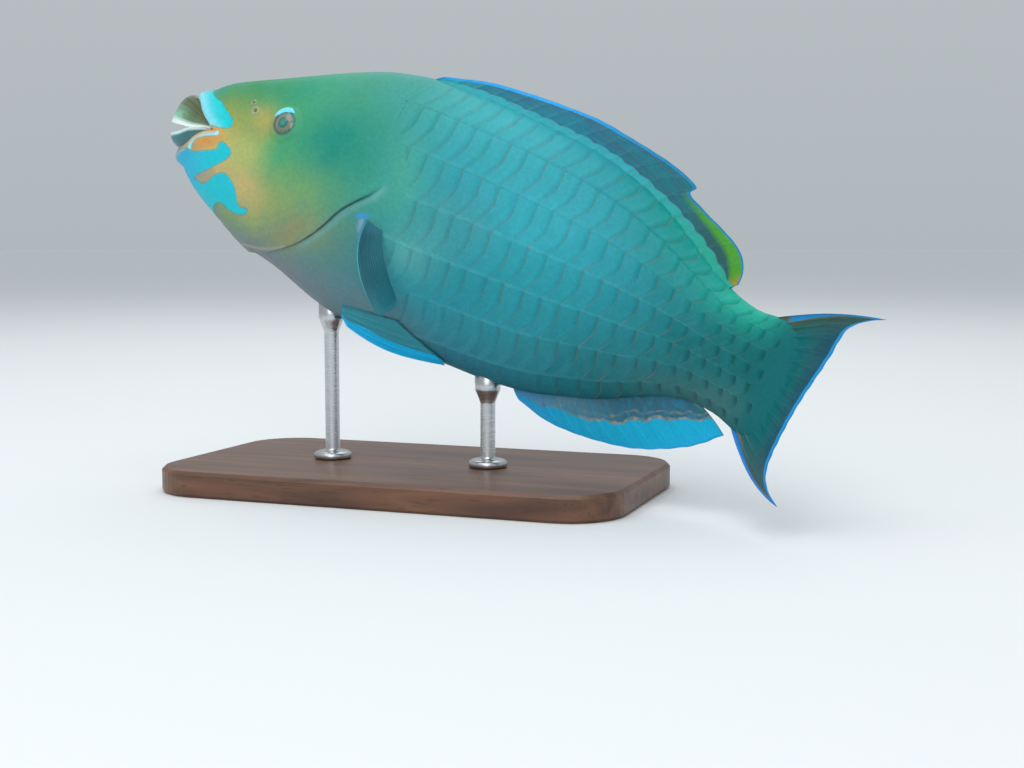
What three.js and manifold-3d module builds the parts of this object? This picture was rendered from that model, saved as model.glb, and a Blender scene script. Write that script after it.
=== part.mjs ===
// Parrotfish: a grown male rusty parrotfish at life size, swimming, on a plain display stand.
// Millimetres, +Z up. The head points to -X, the fish's left side to -Y.
// The origin is the centre of the stand's underside.

import * as THREE from 'three';
import Module from 'manifold-3d';

const wasm = await Module();
wasm.setup();

// Driving dimensions
const STANDARD_LENGTH = 315; // tip of the upper lip to the root of the tail fin
const PITCH_DEG = 22; // the fish swims with its head raised by this much
const FISH_CENTRE_X = 27; // middle of the standard length, from the origin
const FISH_CENTRE_Z = 115; // the hanging tail fin clears the floor by 14 mm
const GAP = 0.3; // clearance between touching pieces

const BASE_LENGTH = 226;
const BASE_WIDTH = 124;
const BASE_THICKNESS = 12;
const BASE_CORNER = 26;
const BASE_BEVEL = 1.6;
const ROD_RADIUS = 3.5;
const FLANGE_RADIUS = 9;
const FLANGE_HEIGHT = 3.5;
const CUP_RADIUS = 6;
const CUP_HEIGHT = 7;

// All profiles below are in fractions of the standard length: s runs back along the spine from
// the upper lip, z is the height above the line from the lip to the tail, y is sideways.

// Heading of the spine seen from above, in degrees: the tail swings to the fish's left.
const HEADING = [[0.58, 0], [0.80, -8.6], [0.92, -22.7], [1.0, -42.1], [1.06, -54]];

// Outline of the flesh from the side, and its half width
const BACK = [
  [-0.013, 0.0325], [-0.004, 0.0405], [0.012, 0.0535], [0.030, 0.0715], [0.050, 0.0855],
  [0.085, 0.1022], [0.125, 0.120], [0.233, 0.168],
  [0.302, 0.193], [0.365, 0.205], [0.498, 0.205], [0.631, 0.196], [0.701, 0.181],
  [0.758, 0.161], [0.821, 0.129], [0.880, 0.099], [0.940, 0.085], [1.0, 0.090], [1.034, 0.079],
];
const BELLY = [
  [-0.013, -0.046], [0.0, -0.060], [0.045, -0.094], [0.104, -0.121], [0.160, -0.142],
  [0.220, -0.152], [0.303, -0.174], [0.360, -0.181], [0.444, -0.183], [0.528, -0.178],
  [0.600, -0.174], [0.660, -0.165], [0.715, -0.148], [0.773, -0.126], [0.828, -0.097],
  [0.880, -0.075], [0.940, -0.069], [1.0, -0.075], [1.034, -0.064],
];
const HALF_WIDTH = [
  [-0.013, 0.009], [-0.008, 0.021], [0.0, 0.030], [0.03, 0.043], [0.08, 0.057],
  [0.15, 0.070], [0.22, 0.080], [0.30, 0.088], [0.38, 0.090], [0.50, 0.085], [0.60, 0.075],
  [0.70, 0.060], [0.80, 0.043], [0.88, 0.030], [0.94, 0.022], [1.0, 0.012], [1.034, 0.005],
];
// Height of the widest level, as a share of the depth above the belly line
const WIDEST = [[-0.013, 0.48], [0.10, 0.47], [0.25, 0.50], [0.45, 0.56], [0.80, 0.54], [1.034, 0.5]];
// Power of the section's sine: below 1 the flank is full, above 1 it draws in to a ridge
const RIDGE_TOP = [[-0.013, 0.85], [0.10, 0.95], [0.30, 1.12], [0.80, 1.10], [1.034, 0.9]];
const RIDGE_BELLY = [[-0.013, 0.85], [0.15, 0.90], [0.45, 0.88], [0.80, 1.0], [1.034, 0.9]];
const BODY_SIDES = 40;

// Head
const HEAD_STATIONS = [
  -0.013, -0.010, -0.005, 0.002, 0.012, 0.025, 0.040, 0.060, 0.085, 0.110, 0.140,
  0.170, 0.200, 0.230, 0.260, 0.290, 0.320, 0.350, 0.375, 0.400,
];
// The line that parts the head from the torso: up the free edge of the gill cover, then the nape
const GILL_LINE = [
  [0.110, -0.170], [0.160, -0.146], [0.210, -0.128], [0.245, -0.107], [0.275, -0.085],
  [0.303, -0.053], [0.3265, -0.016], [0.346, 0.005], [0.366, 0.024], [0.376, 0.043],
  [0.366, 0.068], [0.320, 0.118], [0.275, 0.175], [0.250, 0.230],
];
const GILL_LIFT = 1.1; // how far the gill cover's edge stands proud of the flank, in mm
const GILL_LIFT_REACH = 0.075;
const GILL_TOP = 0.045;
const GILL_STEPS = 26;
const LIP_UPPER = [
  [0.002, 0.0448], [0.0095, 0.0462], [0.0205, 0.0447], [0.031, 0.0385], [0.041, 0.0315],
  [0.053, 0.0240], [0.065, 0.0175], [0.0755, 0.0132],
];
const LIP_LOWER = [
  [-0.003, -0.0465], [0.009, -0.043], [0.021, -0.033], [0.030, -0.0225], [0.040, -0.0095],
  [0.053, 0.0015], [0.065, 0.0080], [0.0755, 0.0132],
];
const LIP_RADIUS_UPPER = 2.2;
const LIP_RADIUS_LOWER = 1.7;
const EYE_CENTRE = [0.187, 0.065];
const EYE_RADIUS = 7.1;
const EYE_DEPTH = 3.7;
const EYE_SINK = 1.5;
const EYE_SEGMENTS = 22;
const ORBIT_RADIUS = 6.9;
const ORBIT_THICKNESS = 1.0;
const ORBIT_STEPS = 22;
const NOSTRILS = [[0.115, 0.074, 0.75], [0.125, 0.0645, 1.1]]; // s, z and radius in mm

// Beak: outline at the midline from lip to cutting edge, and the cutting edges along the jaw
const BEAK_UPPER = [
  [0.006, 0.0425], [-0.007, 0.0425], [-0.018, 0.0400], [-0.027, 0.0335], [-0.033, 0.024],
  [-0.037, 0.012], [-0.039, 0.0], [-0.039, -0.010],
];
const BEAK_LOWER = [
  [0.000, -0.043], [-0.014, -0.0415], [-0.025, -0.0375], [-0.0315, -0.032], [-0.0345, -0.027],
];
const EDGE_UPPER = [[-0.039, -0.010], [-0.008, -0.005], [0.012, -0.002], [0.032, 0.0045], [0.060, 0.0125]];
const EDGE_LOWER = [[-0.0345, -0.027], [-0.009, -0.015], [0.011, -0.005], [0.050, 0.0070]];
const BEAK_UPPER_BACK = 0.060;
const BEAK_LOWER_BACK = 0.050;
const BEAK_HALF_WIDTH = 0.034;
const BEAK_STEPS = 12;

// Torso and tail
const TORSO_START = 0.130;
const TAIL_START = 0.900;
const TORSO_STEPS = 31;
const TAIL_END = 1.034;
const TAIL_STEPS = 8;

// Fins: the tip of each ray by its place u along the fin, as [u, s, z]
const DORSAL_RAYS = 19;
const DORSAL_BASE = [0.350, 0.885];
const DORSAL_TIPS = [
  [0, 0.373, 0.212], [0.1, 0.440, 0.228], [0.2, 0.500, 0.234], [0.3, 0.560, 0.2365],
  [0.4, 0.618, 0.2365], [0.5, 0.672, 0.2295], [0.6, 0.724, 0.221], [0.66, 0.755, 0.2135],
  [0.705, 0.787, 0.2005], [0.73, 0.781, 0.1895], [0.77, 0.802, 0.1785], [0.80, 0.819, 0.1710],
  [0.86, 0.848, 0.1600], [0.92, 0.879, 0.1450], [0.96, 0.894, 0.129], [0.985, 0.899, 0.116],
  [1, 0.899, 0.102],
];
const ANAL_RAYS = 12;
const ANAL_BASE = [0.635, 0.880];
const ANAL_TIPS = [
  [0, 0.656, -0.180], [0.1, 0.700, -0.1900], [0.25, 0.745, -0.190], [0.4, 0.795, -0.1822],
  [0.55, 0.845, -0.1685], [0.7, 0.893, -0.1465], [0.85, 0.939, -0.1185], [1, 0.9755, -0.0865],
];
const ANAL_BULGE = 0.008; // how far the last ray bows up
const CAUDAL_RAYS = 15;
const CAUDAL_ROOT = 0.985;
const CAUDAL_ROOT_Z = [0.088, -0.072];
const CAUDAL_TIPS = [
  [0, 1.207, 0.153], [0.08, 1.165, 0.139], [0.17, 1.128, 0.118], [0.3, 1.114, 0.078],
  [0.5, 1.096, 0.012], [0.7, 1.095, -0.045], [0.86, 1.103, -0.086], [0.94, 1.125, -0.103],
  [1, 1.161, -0.111],
];
const CAUDAL_BULGE = -0.012; // how far the lowest ray bows down
const PECTORAL_RAYS = 14;
// Root, middle and tip of the rays from the leading edge to the inner edge, as [u, s, y, z]
const PECTORAL_ROOT = [[0, 0.367, 0.078, -0.006], [1, 0.393, 0.078, -0.011]];
const PECTORAL_BEND = [[0, 0.381, 0.150, -0.062], [0.4, 0.394, 0.140, -0.064], [1, 0.410, 0.112, -0.040]];
const PECTORAL_TIPS = [
  [0, 0.4675, 0.178, -0.1074], [0.15, 0.482, 0.187, -0.1110], [0.4, 0.4854, 0.176, -0.1058],
  [0.7, 0.482, 0.148, -0.1010], [1, 0.4706, 0.118, -0.0966],
];
const PELVIC_RAYS = 6;
const PELVIC_ROOT_S = 0.347;
const PELVIC_LENGTHS = [[0, 0.192], [0.2, 0.190], [0.6, 0.155], [1, 0.110]];
const PELVIC_ANGLES = [0.29, 0.45, 0.68]; // from the belly line: leading edge, inner root, inner tip
const PELVIC_LIFT = [[0, -3.0], [0.14, 1.2], [1, 1.7]]; // clear of the belly, in mm
const PELVIC_DROP = 3.5; // how much more the leading edge hangs clear half way back, in mm
const ROOT_SINK = 0.012;
const MEMBRANE_HALF = 0.3; // half thickness of a fin's membrane, in mm
const MARGIN_SCALLOP = 0.008; // how far the membrane's margin falls back between two rays

const FRONT_ROD_S = 0.325;
const REAR_ROD_S = 0.600;

// Colours
const SKIN_HEAD = 0x4fa275;
const SKIN_BODY = 0x3f9fa8;
const SKIN_TAIL = 0x227a7c;
const BEAK_COLOUR = 0x8fc9ae;
const FIN_BLUE = 0x2a93b5;
const FIN_DARK = 0x24616c;
const EYE_COLOUR = 0x33524a;
const WOOD = 0x4a2f20;
const STEEL = 0xb9bdc0;

// Curves

// A smooth function through [x, value] points: cubic pieces whose slopes come from both neighbours.
function smoothCurve(points) {
  const last = points.length - 1;
  const slope = points.map((point, i) => {
    const before = points[Math.max(i - 1, 0)];
    const after = points[Math.min(i + 1, last)];
    return (after[1] - before[1]) / (after[0] - before[0]);
  });
  return (x) => {
    if (x <= points[0][0]) return points[0][1];
    if (x >= points[last][0]) return points[last][1];
    const i = points.findIndex((point) => point[0] >= x) - 1;
    const [x0, y0] = points[i];
    const [x1, y1] = points[i + 1];
    const width = x1 - x0;
    const t = (x - x0) / width;
    const rise = y0 * (2 * t ** 3 - 3 * t ** 2 + 1) + y1 * (3 * t ** 2 - 2 * t ** 3);
    return rise + width * (slope[i] * (t ** 3 - 2 * t ** 2 + t) + slope[i + 1] * (t ** 3 - t ** 2));
  };
}

// Straight pieces through [x, value] points.
function straightCurve(points) {
  return (x) => {
    const i = THREE.MathUtils.clamp(points.findIndex((point) => point[0] >= x), 1, points.length - 1);
    const pick = x > points[points.length - 1][0] ? points.length - 1 : i;
    const [x0, y0] = points[pick - 1];
    const [x1, y1] = points[pick];
    return y0 + (y1 - y0) * THREE.MathUtils.clamp((x - x0) / (x1 - x0), 0, 1);
  };
}

// Curves for several values at once, from rows [u, first, second, ...].
function smoothRow(rows) {
  const curves = rows[0].slice(1).map((_, k) => smoothCurve(rows.map((row) => [row[0], row[k + 1]])));
  return (u) => curves.map((curve) => curve(u));
}

const backAt = smoothCurve(BACK);
const bellyAt = smoothCurve(BELLY);
const halfWidthAt = smoothCurve(HALF_WIDTH);
const widestAt = smoothCurve(WIDEST);
const ridgeTopAt = smoothCurve(RIDGE_TOP);
const ridgeBellyAt = smoothCurve(RIDGE_BELLY);
const headingAt = straightCurve(HEADING);

// The spine, summed in short steps from its straight front part
const SPINE_STEP = 0.002;
const SPINE_REACH = 1.3;
const bendStart = HEADING[0][0];
const spineTrack = [[bendStart, 0]];
for (let s = bendStart; s < SPINE_REACH; s += SPINE_STEP) {
  const heading = THREE.MathUtils.degToRad(headingAt(s + SPINE_STEP / 2));
  const [x, y] = spineTrack[spineTrack.length - 1];
  spineTrack.push([x + SPINE_STEP * Math.cos(heading), y + SPINE_STEP * Math.sin(heading)]);
}

function spineAt(s) {
  if (s <= bendStart) return { x: s, y: 0, heading: 0 };
  const place = Math.min((s - bendStart) / SPINE_STEP, spineTrack.length - 1.001);
  const i = Math.floor(place);
  const share = place - i;
  const [x0, y0] = spineTrack[i];
  const [x1, y1] = spineTrack[i + 1];
  const heading = THREE.MathUtils.degToRad(headingAt(s));
  return { x: x0 + share * (x1 - x0), y: y0 + share * (y1 - y0), heading };
}

// A point of the fish in the part's frame.
const pitch = THREE.MathUtils.degToRad(PITCH_DEG);
function place(s, y, z) {
  const spine = spineAt(s);
  const along = (spine.x - y * Math.sin(spine.heading) - 0.5) * STANDARD_LENGTH;
  const across = (spine.y + y * Math.cos(spine.heading)) * STANDARD_LENGTH;
  const up = z * STANDARD_LENGTH;
  return new THREE.Vector3(
    FISH_CENTRE_X + along * Math.cos(pitch) + up * Math.sin(pitch),
    across,
    FISH_CENTRE_Z - along * Math.sin(pitch) + up * Math.cos(pitch),
  );
}

// Section of the flesh: half width at an angle from the back (0) to the belly (pi), grown by some mm.
function sectionPoint(s, angle, grow) {
  const extra = grow / STANDARD_LENGTH;
  const back = backAt(s) + extra;
  const belly = bellyAt(s) - extra;
  const middle = belly + (back - belly) * widestAt(s);
  const upper = Math.cos(angle) >= 0;
  const power = upper ? ridgeTopAt(s) : ridgeBellyAt(s);
  const sine = Math.sin(angle);
  const y = (halfWidthAt(s) + extra) * Math.sign(sine) * Math.abs(sine) ** power;
  const z = middle + (upper ? back - middle : middle - belly) * Math.cos(angle);
  return [y, z];
}

function surfacePoint(s, angle, grow = 0) {
  const [y, z] = sectionPoint(s, angle, grow);
  return place(s, y, z);
}

// Half width of the flesh at a height.
function widthAtHeight(s, z) {
  const back = backAt(s);
  const belly = bellyAt(s);
  const middle = belly + (back - belly) * widestAt(s);
  const reach = z >= middle ? back - middle : middle - belly;
  const cosine = THREE.MathUtils.clamp((z - middle) / reach, -1, 1);
  const power = z >= middle ? ridgeTopAt(s) : ridgeBellyAt(s);
  return halfWidthAt(s) * Math.sqrt(1 - cosine * cosine) ** power;
}

// Solids

// A solid from points and triangles: like points are merged and collapsed triangles left out.
function solidFrom(points, triangles) {
  const numbers = new Map();
  const vertices = [];
  const index = points.map((point) => {
    const key = point.toArray().map((value) => Math.round(value * 1e4)).join();
    if (!numbers.has(key)) {
      numbers.set(key, vertices.length / 3);
      vertices.push(...point.toArray());
    }
    return numbers.get(key);
  });
  const kept = triangles.map((corners) => corners.map((corner) => index[corner]))
    .filter(([a, b, c]) => a !== b && b !== c && c !== a);
  let volume = 0;
  const corner = (k) => new THREE.Vector3().fromArray(vertices, 3 * k);
  for (const [a, b, c] of kept) volume += corner(a).dot(corner(b).cross(corner(c)));
  const outward = volume > 0 ? kept : kept.map(([a, b, c]) => [a, c, b]);
  return new wasm.Manifold(new wasm.Mesh({
    numProp: 3,
    vertProperties: new Float32Array(vertices),
    triVerts: new Uint32Array(outward.flat()),
  }));
}

// A closed skin over rings of points, each end closed by a fan.
function loft(rings) {
  const sides = rings[0].length;
  const points = rings.flat();
  const triangles = [];
  for (let r = 0; r + 1 < rings.length; r++) {
    for (let k = 0; k < sides; k++) {
      const a = r * sides + k;
      const b = r * sides + (k + 1) % sides;
      triangles.push([a, b, b + sides], [a, b + sides, a + sides]);
    }
  }
  for (const end of [0, rings.length - 1]) {
    const centre = rings[end].reduce((sum, point) => sum.add(point), new THREE.Vector3());
    points.push(centre.divideScalar(sides));
    for (let k = 0; k < sides; k++) {
      const edge = [end * sides + (k + 1) % sides, end * sides + k];
      if (end > 0) edge.reverse();
      triangles.push([points.length - 1, ...edge]);
    }
  }
  return solidFrom(points, triangles);
}

// A solid of a three.js geometry.
function solidOf(geometry) {
  const positions = geometry.getAttribute('position');
  const points = [];
  for (let i = 0; i < positions.count; i++) {
    points.push(new THREE.Vector3().fromBufferAttribute(positions, i));
  }
  const order = geometry.index ? Array.from(geometry.index.array) : points.map((_, i) => i);
  const triangles = [];
  for (let i = 0; i < order.length; i += 3) triangles.push(order.slice(i, i + 3));
  return solidFrom(points, triangles);
}

// A thin plate over a grid of centre points, raised on both faces by half(i, j) mm along the
// sheet's normal. Both faces are split into triangles alike.
function plate(columns, rows, centre, half) {
  const grid = [];
  for (let i = 0; i < columns; i++) {
    grid.push([]);
    for (let j = 0; j < rows; j++) grid[i].push(centre(i, j));
  }
  const point = (i, j) => grid[THREE.MathUtils.clamp(i, 0, columns - 1)][THREE.MathUtils.clamp(j, 0, rows - 1)];
  const points = [];
  for (const face of [1, -1]) {
    for (let i = 0; i < columns; i++) {
      for (let j = 0; j < rows; j++) {
        const along = point(i + 1, j).clone().sub(point(i - 1, j));
        const outward = point(i, j + 1).clone().sub(point(i, j - 1)).cross(along).normalize();
        points.push(grid[i][j].clone().addScaledVector(outward, face * half(i, j)));
      }
    }
  }
  const back = columns * rows;
  const triangles = [];
  for (let i = 0; i + 1 < columns; i++) {
    for (let j = 0; j + 1 < rows; j++) {
      const a = i * rows + j;
      const b = a + rows;
      triangles.push([a, b, b + 1], [a, b + 1, a + 1]);
      triangles.push([back + a, back + b + 1, back + b], [back + a, back + a + 1, back + b + 1]);
    }
  }
  const rim = [];
  for (let i = 0; i < columns; i++) rim.push(i * rows);
  for (let j = 1; j < rows; j++) rim.push((columns - 1) * rows + j);
  for (let i = columns - 2; i >= 0; i--) rim.push(i * rows + rows - 1);
  for (let j = rows - 2; j > 0; j--) rim.push(j);
  rim.forEach((a, k) => {
    const b = rim[(k + 1) % rim.length];
    triangles.push([b, a, back + a], [b, back + a, back + b]);
  });
  return solidFrom(points, triangles);
}

// A tube along a path, its radius given along the path, each end drawn in to a round tip.
function tube(path, radiusAt, sides, steps, closed = false) {
  const frames = path.computeFrenetFrames(steps, closed);
  const rings = [];
  for (let k = 0; k < (closed ? steps : steps + 1); k++) {
    const centre = path.getPointAt(k / steps);
    const ring = [];
    for (let side = 0; side < sides; side++) {
      const angle = 2 * Math.PI * side / sides;
      const radius = radiusAt(k / steps);
      ring.push(centre.clone().addScaledVector(frames.normals[k], radius * Math.cos(angle))
        .addScaledVector(frames.binormals[k], radius * Math.sin(angle)));
    }
    rings.push(ring);
  }
  if (!closed) return loft(rings);
  const triangles = [];
  for (let r = 0; r < steps; r++) {
    for (let side = 0; side < sides; side++) {
      const next = (side + 1) % sides;
      const ring = r * sides;
      const after = ((r + 1) % steps) * sides;
      triangles.push([ring + side, ring + next, after + next], [ring + side, after + next, after + side]);
    }
  }
  return solidFrom(rings.flat(), triangles);
}

// A prism across the fish from an outline of [s, z] points.
function prism(outline, halfSpan) {
  return loft([-halfSpan, halfSpan].map((y) => outline.map(([s, z]) => place(s, y, z))));
}

// An ellipsoid with its short axis along a direction.
function ellipsoid(centre, axis, radius, depth, segments) {
  const geometry = new THREE.SphereGeometry(1, segments, segments / 2);
  geometry.rotateX(Math.PI / 2);
  geometry.scale(radius, radius, depth);
  geometry.applyQuaternion(new THREE.Quaternion().setFromUnitVectors(new THREE.Vector3(0, 0, 1), axis));
  geometry.translate(...centre.toArray());
  return solidOf(geometry);
}

// Rings of the flesh at stations, grown by a number of mm.
function fleshRings(stations, growAt) {
  return stations.map((s) => {
    const ring = [];
    for (let k = 0; k < BODY_SIDES; k++) {
      const angle = 2 * Math.PI * k / BODY_SIDES;
      const [, z] = sectionPoint(s, angle, 0);
      ring.push(surfacePoint(s, angle, growAt(s, z)));
    }
    return ring;
  });
}

function evenStations(from, to, steps) {
  return Array.from({ length: steps + 1 }, (_, k) => from + (to - from) * k / steps);
}

// Moves an open outline of [s, z] points sideways by some mm.
function shiftOutline(outline, distance) {
  return outline.map(([s, z], i) => {
    const before = outline[Math.max(i - 1, 0)];
    const after = outline[Math.min(i + 1, outline.length - 1)];
    const length = Math.hypot(after[0] - before[0], after[1] - before[1]);
    const shift = distance / STANDARD_LENGTH / length;
    return [s + (after[1] - before[1]) * shift, z - (after[0] - before[0]) * shift];
  });
}

// The part of the solid that stays when loose scraps are left out.
function largest(solid) {
  const pieces = solid.decompose();
  return pieces.reduce((best, piece) => (piece.volume() > best.volume() ? piece : best));
}

// Flesh

// The gill cover's lift: full at its free edge, dying away forward of it and up the nape.
const gillSpline = new THREE.CatmullRomCurve3(GILL_LINE.map(([s, z]) => new THREE.Vector3(s, z, 0)));
const gillOutline = gillSpline.getPoints(GILL_STEPS).map((point) => [point.x, point.y]);
function gillLift(s, z) {
  const distance = Math.min(...gillOutline.map(([gs, gz]) => Math.hypot(gs - s, gz - z)));
  const ahead = Math.max(0, 1 - distance / GILL_LIFT_REACH) ** 1.5;
  return GILL_LIFT * ahead * (1 - THREE.MathUtils.smoothstep(z, GILL_TOP - 0.02, GILL_TOP + 0.03));
}

function headSide(shift) {
  return prism([[-0.1, -0.3], [0.02, -0.3], ...shiftOutline(gillOutline, shift), [0.25, 0.35], [-0.1, 0.35]], 0.25);
}

// Lip edge on the head's surface, from the left corner of the mouth round the front to the right.
function lipPath(edge) {
  const side = edge.slice(1).map(([s, z]) => [s, widthAtHeight(s, z), z]);
  const left = side.slice().reverse().map(([s, y, z]) => place(s, -y, z));
  const right = side.map(([s, y, z]) => place(s, y, z));
  return new THREE.CatmullRomCurve3([...left, place(edge[0][0], 0, edge[0][1]), ...right], false, 'centripetal');
}

function lip(edge, radius, extra) {
  const fullness = (t) => Math.sqrt(Math.max(0.02, 1 - (2 * t - 1) ** 8));
  return tube(lipPath(edge), (t) => radius * fullness(t) + extra, 8, 22);
}

const mouthCut = prism([[-0.08, 0.0545], ...LIP_UPPER, ...LIP_LOWER.slice(0, -1).reverse(), [-0.08, -0.0465]], 0.2);

// Outward direction and point of the flesh's surface at an [s, z] place of one side.
function surfaceSpot([s, z], side) {
  const step = 0.004;
  const spot = (ds, dz) => place(s + ds, side * widthAtHeight(s + ds, z + dz), z + dz);
  const along = spot(step, 0).sub(spot(-step, 0));
  const up = spot(0, step).sub(spot(0, -step));
  const outward = up.cross(along).normalize().multiplyScalar(side);
  if (outward.y * side < 0) outward.negate();
  return { point: spot(0, 0), outward };
}

function orbitRim({ point, outward }) {
  const turn = new THREE.Quaternion().setFromUnitVectors(new THREE.Vector3(0, 0, 1), outward);
  const circle = Array.from({ length: ORBIT_STEPS }, (_, k) => {
    const angle = 2 * Math.PI * k / ORBIT_STEPS;
    const spoke = new THREE.Vector3(Math.cos(angle), Math.sin(angle), 0);
    return spoke.multiplyScalar(ORBIT_RADIUS).applyQuaternion(turn).add(point);
  });
  return tube(new THREE.CatmullRomCurve3(circle, true), () => ORBIT_THICKNESS, 6, ORBIT_STEPS, true);
}

function makeHead() {
  let head = loft(fleshRings(HEAD_STATIONS, gillLift)).intersect(headSide(-GAP / 2)).subtract(mouthCut);
  head = head.add(lip(LIP_UPPER, LIP_RADIUS_UPPER, 0)).add(lip(LIP_LOWER, LIP_RADIUS_LOWER, 0));
  for (const side of [-1, 1]) {
    const eye = surfaceSpot(EYE_CENTRE, side);
    head = head.add(orbitRim(eye)).subtract(eyeball(side, GAP));
    for (const [s, z, radius] of NOSTRILS) {
      const { point, outward } = surfaceSpot([s, z], side);
      head = head.subtract(ellipsoid(point, outward, radius, radius * 1.3, 10));
    }
  }
  return head;
}

function eyeball(side, extra) {
  const { point, outward } = surfaceSpot(EYE_CENTRE, side);
  const centre = point.clone().addScaledVector(outward, -EYE_SINK);
  return ellipsoid(centre, outward, EYE_RADIUS + extra, EYE_DEPTH + extra, EYE_SEGMENTS);
}

// Half of the beak as a solid arch: stations run round from the front to the corner, each from the
// lip to the cutting edge on both sides.
function beak(profile, lipEdge, cuttingEdge, backEnd) {
  const lipAt = smoothCurve(lipEdge);
  const edgeAt = smoothCurve(cuttingEdge);
  const clear = Math.sign(cuttingEdge[0][1] - lipEdge[0][1]) * 1.6 * GAP / STANDARD_LENGTH;
  const [lipS, lipZ] = profile[0];
  const [, edgeZ] = profile[profile.length - 1];
  const rings = [];
  for (let k = 0; k <= BEAK_STEPS; k++) {
    const turn = Math.PI / 2 * k / BEAK_STEPS;
    const forward = Math.cos(turn) ** 0.9;
    const lipX = backEnd - (backEnd - lipS) * forward;
    const edgeX = backEnd - (backEnd - profile[profile.length - 1][0]) * forward;
    const top = lipAt(Math.max(lipX, lipEdge[0][0])) + clear;
    const bottom = edgeAt(edgeX);
    const side = profile.map(([s, z]) => {
      const share = (z - edgeZ) / (lipZ - edgeZ);
      const swell = 1 - 0.10 * share * share;
      const x = backEnd - (backEnd - s) * forward;
      return [x, BEAK_HALF_WIDTH * swell * Math.sin(turn), bottom + (top - bottom) * share];
    });
    rings.push([
      ...side.map(([x, y, z]) => place(x, y, z)),
      ...side.slice().reverse().map(([x, y, z]) => place(x, -y, z)),
    ]);
  }
  return loft(rings);
}

// Fins

// Rays are the even columns of the grid, raised above the membrane between them.
function rayedPlate(rays, rows, centre, rayHalf) {
  const columns = 2 * rays - 1;
  return plate(columns, rows, (i, j) => {
    const reach = i % 2 === 0 ? 1 : 1 - MARGIN_SCALLOP;
    return centre(i / (columns - 1), reach * j / (rows - 1));
  }, (i, j) => (i % 2 === 0 ? rayHalf(j / (rows - 1), i / (columns - 1)) : MEMBRANE_HALF));
}

// A fin on the midline: each ray runs from the flesh at its root to its tip, bowing a little, and the last rays
// bow by the bulge too.
function midlineFin(rays, rows, rootAt, tips, wave, rayHalf, bulge = 0) {
  const tipAt = smoothRow(tips);
  return rayedPlate(rays, rows, (u, v) => {
    const [rootS, rootZ] = rootAt(u);
    const [tipS, tipZ] = tipAt(u);
    const bow = 0.25 * v * (1 - v);
    const s = rootS + (tipS - rootS) * (v - bow);
    const z = rootZ + (tipZ - rootZ) * (v + bow) + bulge * u ** 4 * 4 * v * (1 - v);
    return place(s, wave(u) * v, z);
  }, rayHalf);
}

const taperedRay = (root, tip) => (v) => root + (tip - root) * v;

function dorsalFin() {
  const rootAt = (u) => {
    const s = THREE.MathUtils.lerp(...DORSAL_BASE, u);
    return [s, backAt(s) - ROOT_SINK];
  };
  return midlineFin(DORSAL_RAYS, 6, rootAt, DORSAL_TIPS, (u) => 0.004 * Math.sin(9 * u), taperedRay(0.95, 0.45));
}

function analFin() {
  const rootAt = (u) => {
    const s = THREE.MathUtils.lerp(...ANAL_BASE, u);
    return [s, bellyAt(s) + ROOT_SINK];
  };
  const wave = (u) => 0.004 * Math.sin(6 * u);
  return midlineFin(ANAL_RAYS, 7, rootAt, ANAL_TIPS, wave, taperedRay(0.9, 0.42), ANAL_BULGE);
}

function caudalFin() {
  const rootAt = (u) => [CAUDAL_ROOT, THREE.MathUtils.lerp(...CAUDAL_ROOT_Z, u)];
  const wave = (u) => 0.006 * Math.sin(5 * u);
  return midlineFin(CAUDAL_RAYS, 8, rootAt, CAUDAL_TIPS, wave, taperedRay(1.3, 0.45), CAUDAL_BULGE);
}

function pectoralFin(side) {
  const rootAt = smoothRow(PECTORAL_ROOT);
  const bendAt = smoothRow(PECTORAL_BEND);
  const tipAt = smoothRow(PECTORAL_TIPS);
  return rayedPlate(PECTORAL_RAYS, 7, (u, v) => {
    const [root, bend, tip] = [rootAt(u), bendAt(u), tipAt(u)];
    const [s, y, z] = root.map((start, k) => (1 - v) ** 2 * start + 2 * v * (1 - v) * bend[k] + v * v * tip[k]);
    return place(s, side * y, z);
  }, taperedRay(1.0, 0.4));
}

function pelvicFin(side) {
  const lengthAt = smoothCurve(PELVIC_LENGTHS);
  const liftAt = straightCurve(PELVIC_LIFT);
  const [leading, innerRoot, innerTip] = PELVIC_ANGLES;
  return rayedPlate(PELVIC_RAYS, 8, (u, v) => {
    const s = PELVIC_ROOT_S + lengthAt(u) * v;
    const inner = innerRoot + (innerTip - innerRoot) * Math.sqrt(v);
    const angle = Math.PI + side * (-(leading + (inner - leading) * u));
    return surfacePoint(s, angle, liftAt(v) + PELVIC_DROP * (1 - u) ** 2 * Math.sin(Math.PI * v));
  }, taperedRay(0.9, 0.4));
}

// Stand

function standBase() {
  const x = BASE_LENGTH / 2 - BASE_BEVEL;
  const y = BASE_WIDTH / 2 - BASE_BEVEL;
  const corner = BASE_CORNER - BASE_BEVEL;
  const outline = new THREE.Shape();
  outline.moveTo(-x + corner, -y);
  outline.absarc(x - corner, -y + corner, corner, -Math.PI / 2, 0);
  outline.absarc(x - corner, y - corner, corner, 0, Math.PI / 2);
  outline.absarc(-x + corner, y - corner, corner, Math.PI / 2, Math.PI);
  outline.absarc(-x + corner, -y + corner, corner, Math.PI, 1.5 * Math.PI);
  const geometry = new THREE.ExtrudeGeometry(outline, {
    depth: BASE_THICKNESS - 2 * BASE_BEVEL,
    bevelThickness: BASE_BEVEL,
    bevelSize: BASE_BEVEL,
    bevelSegments: 1,
    curveSegments: 6,
  });
  geometry.translate(0, 0, BASE_BEVEL);
  return solidOf(geometry);
}

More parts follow.
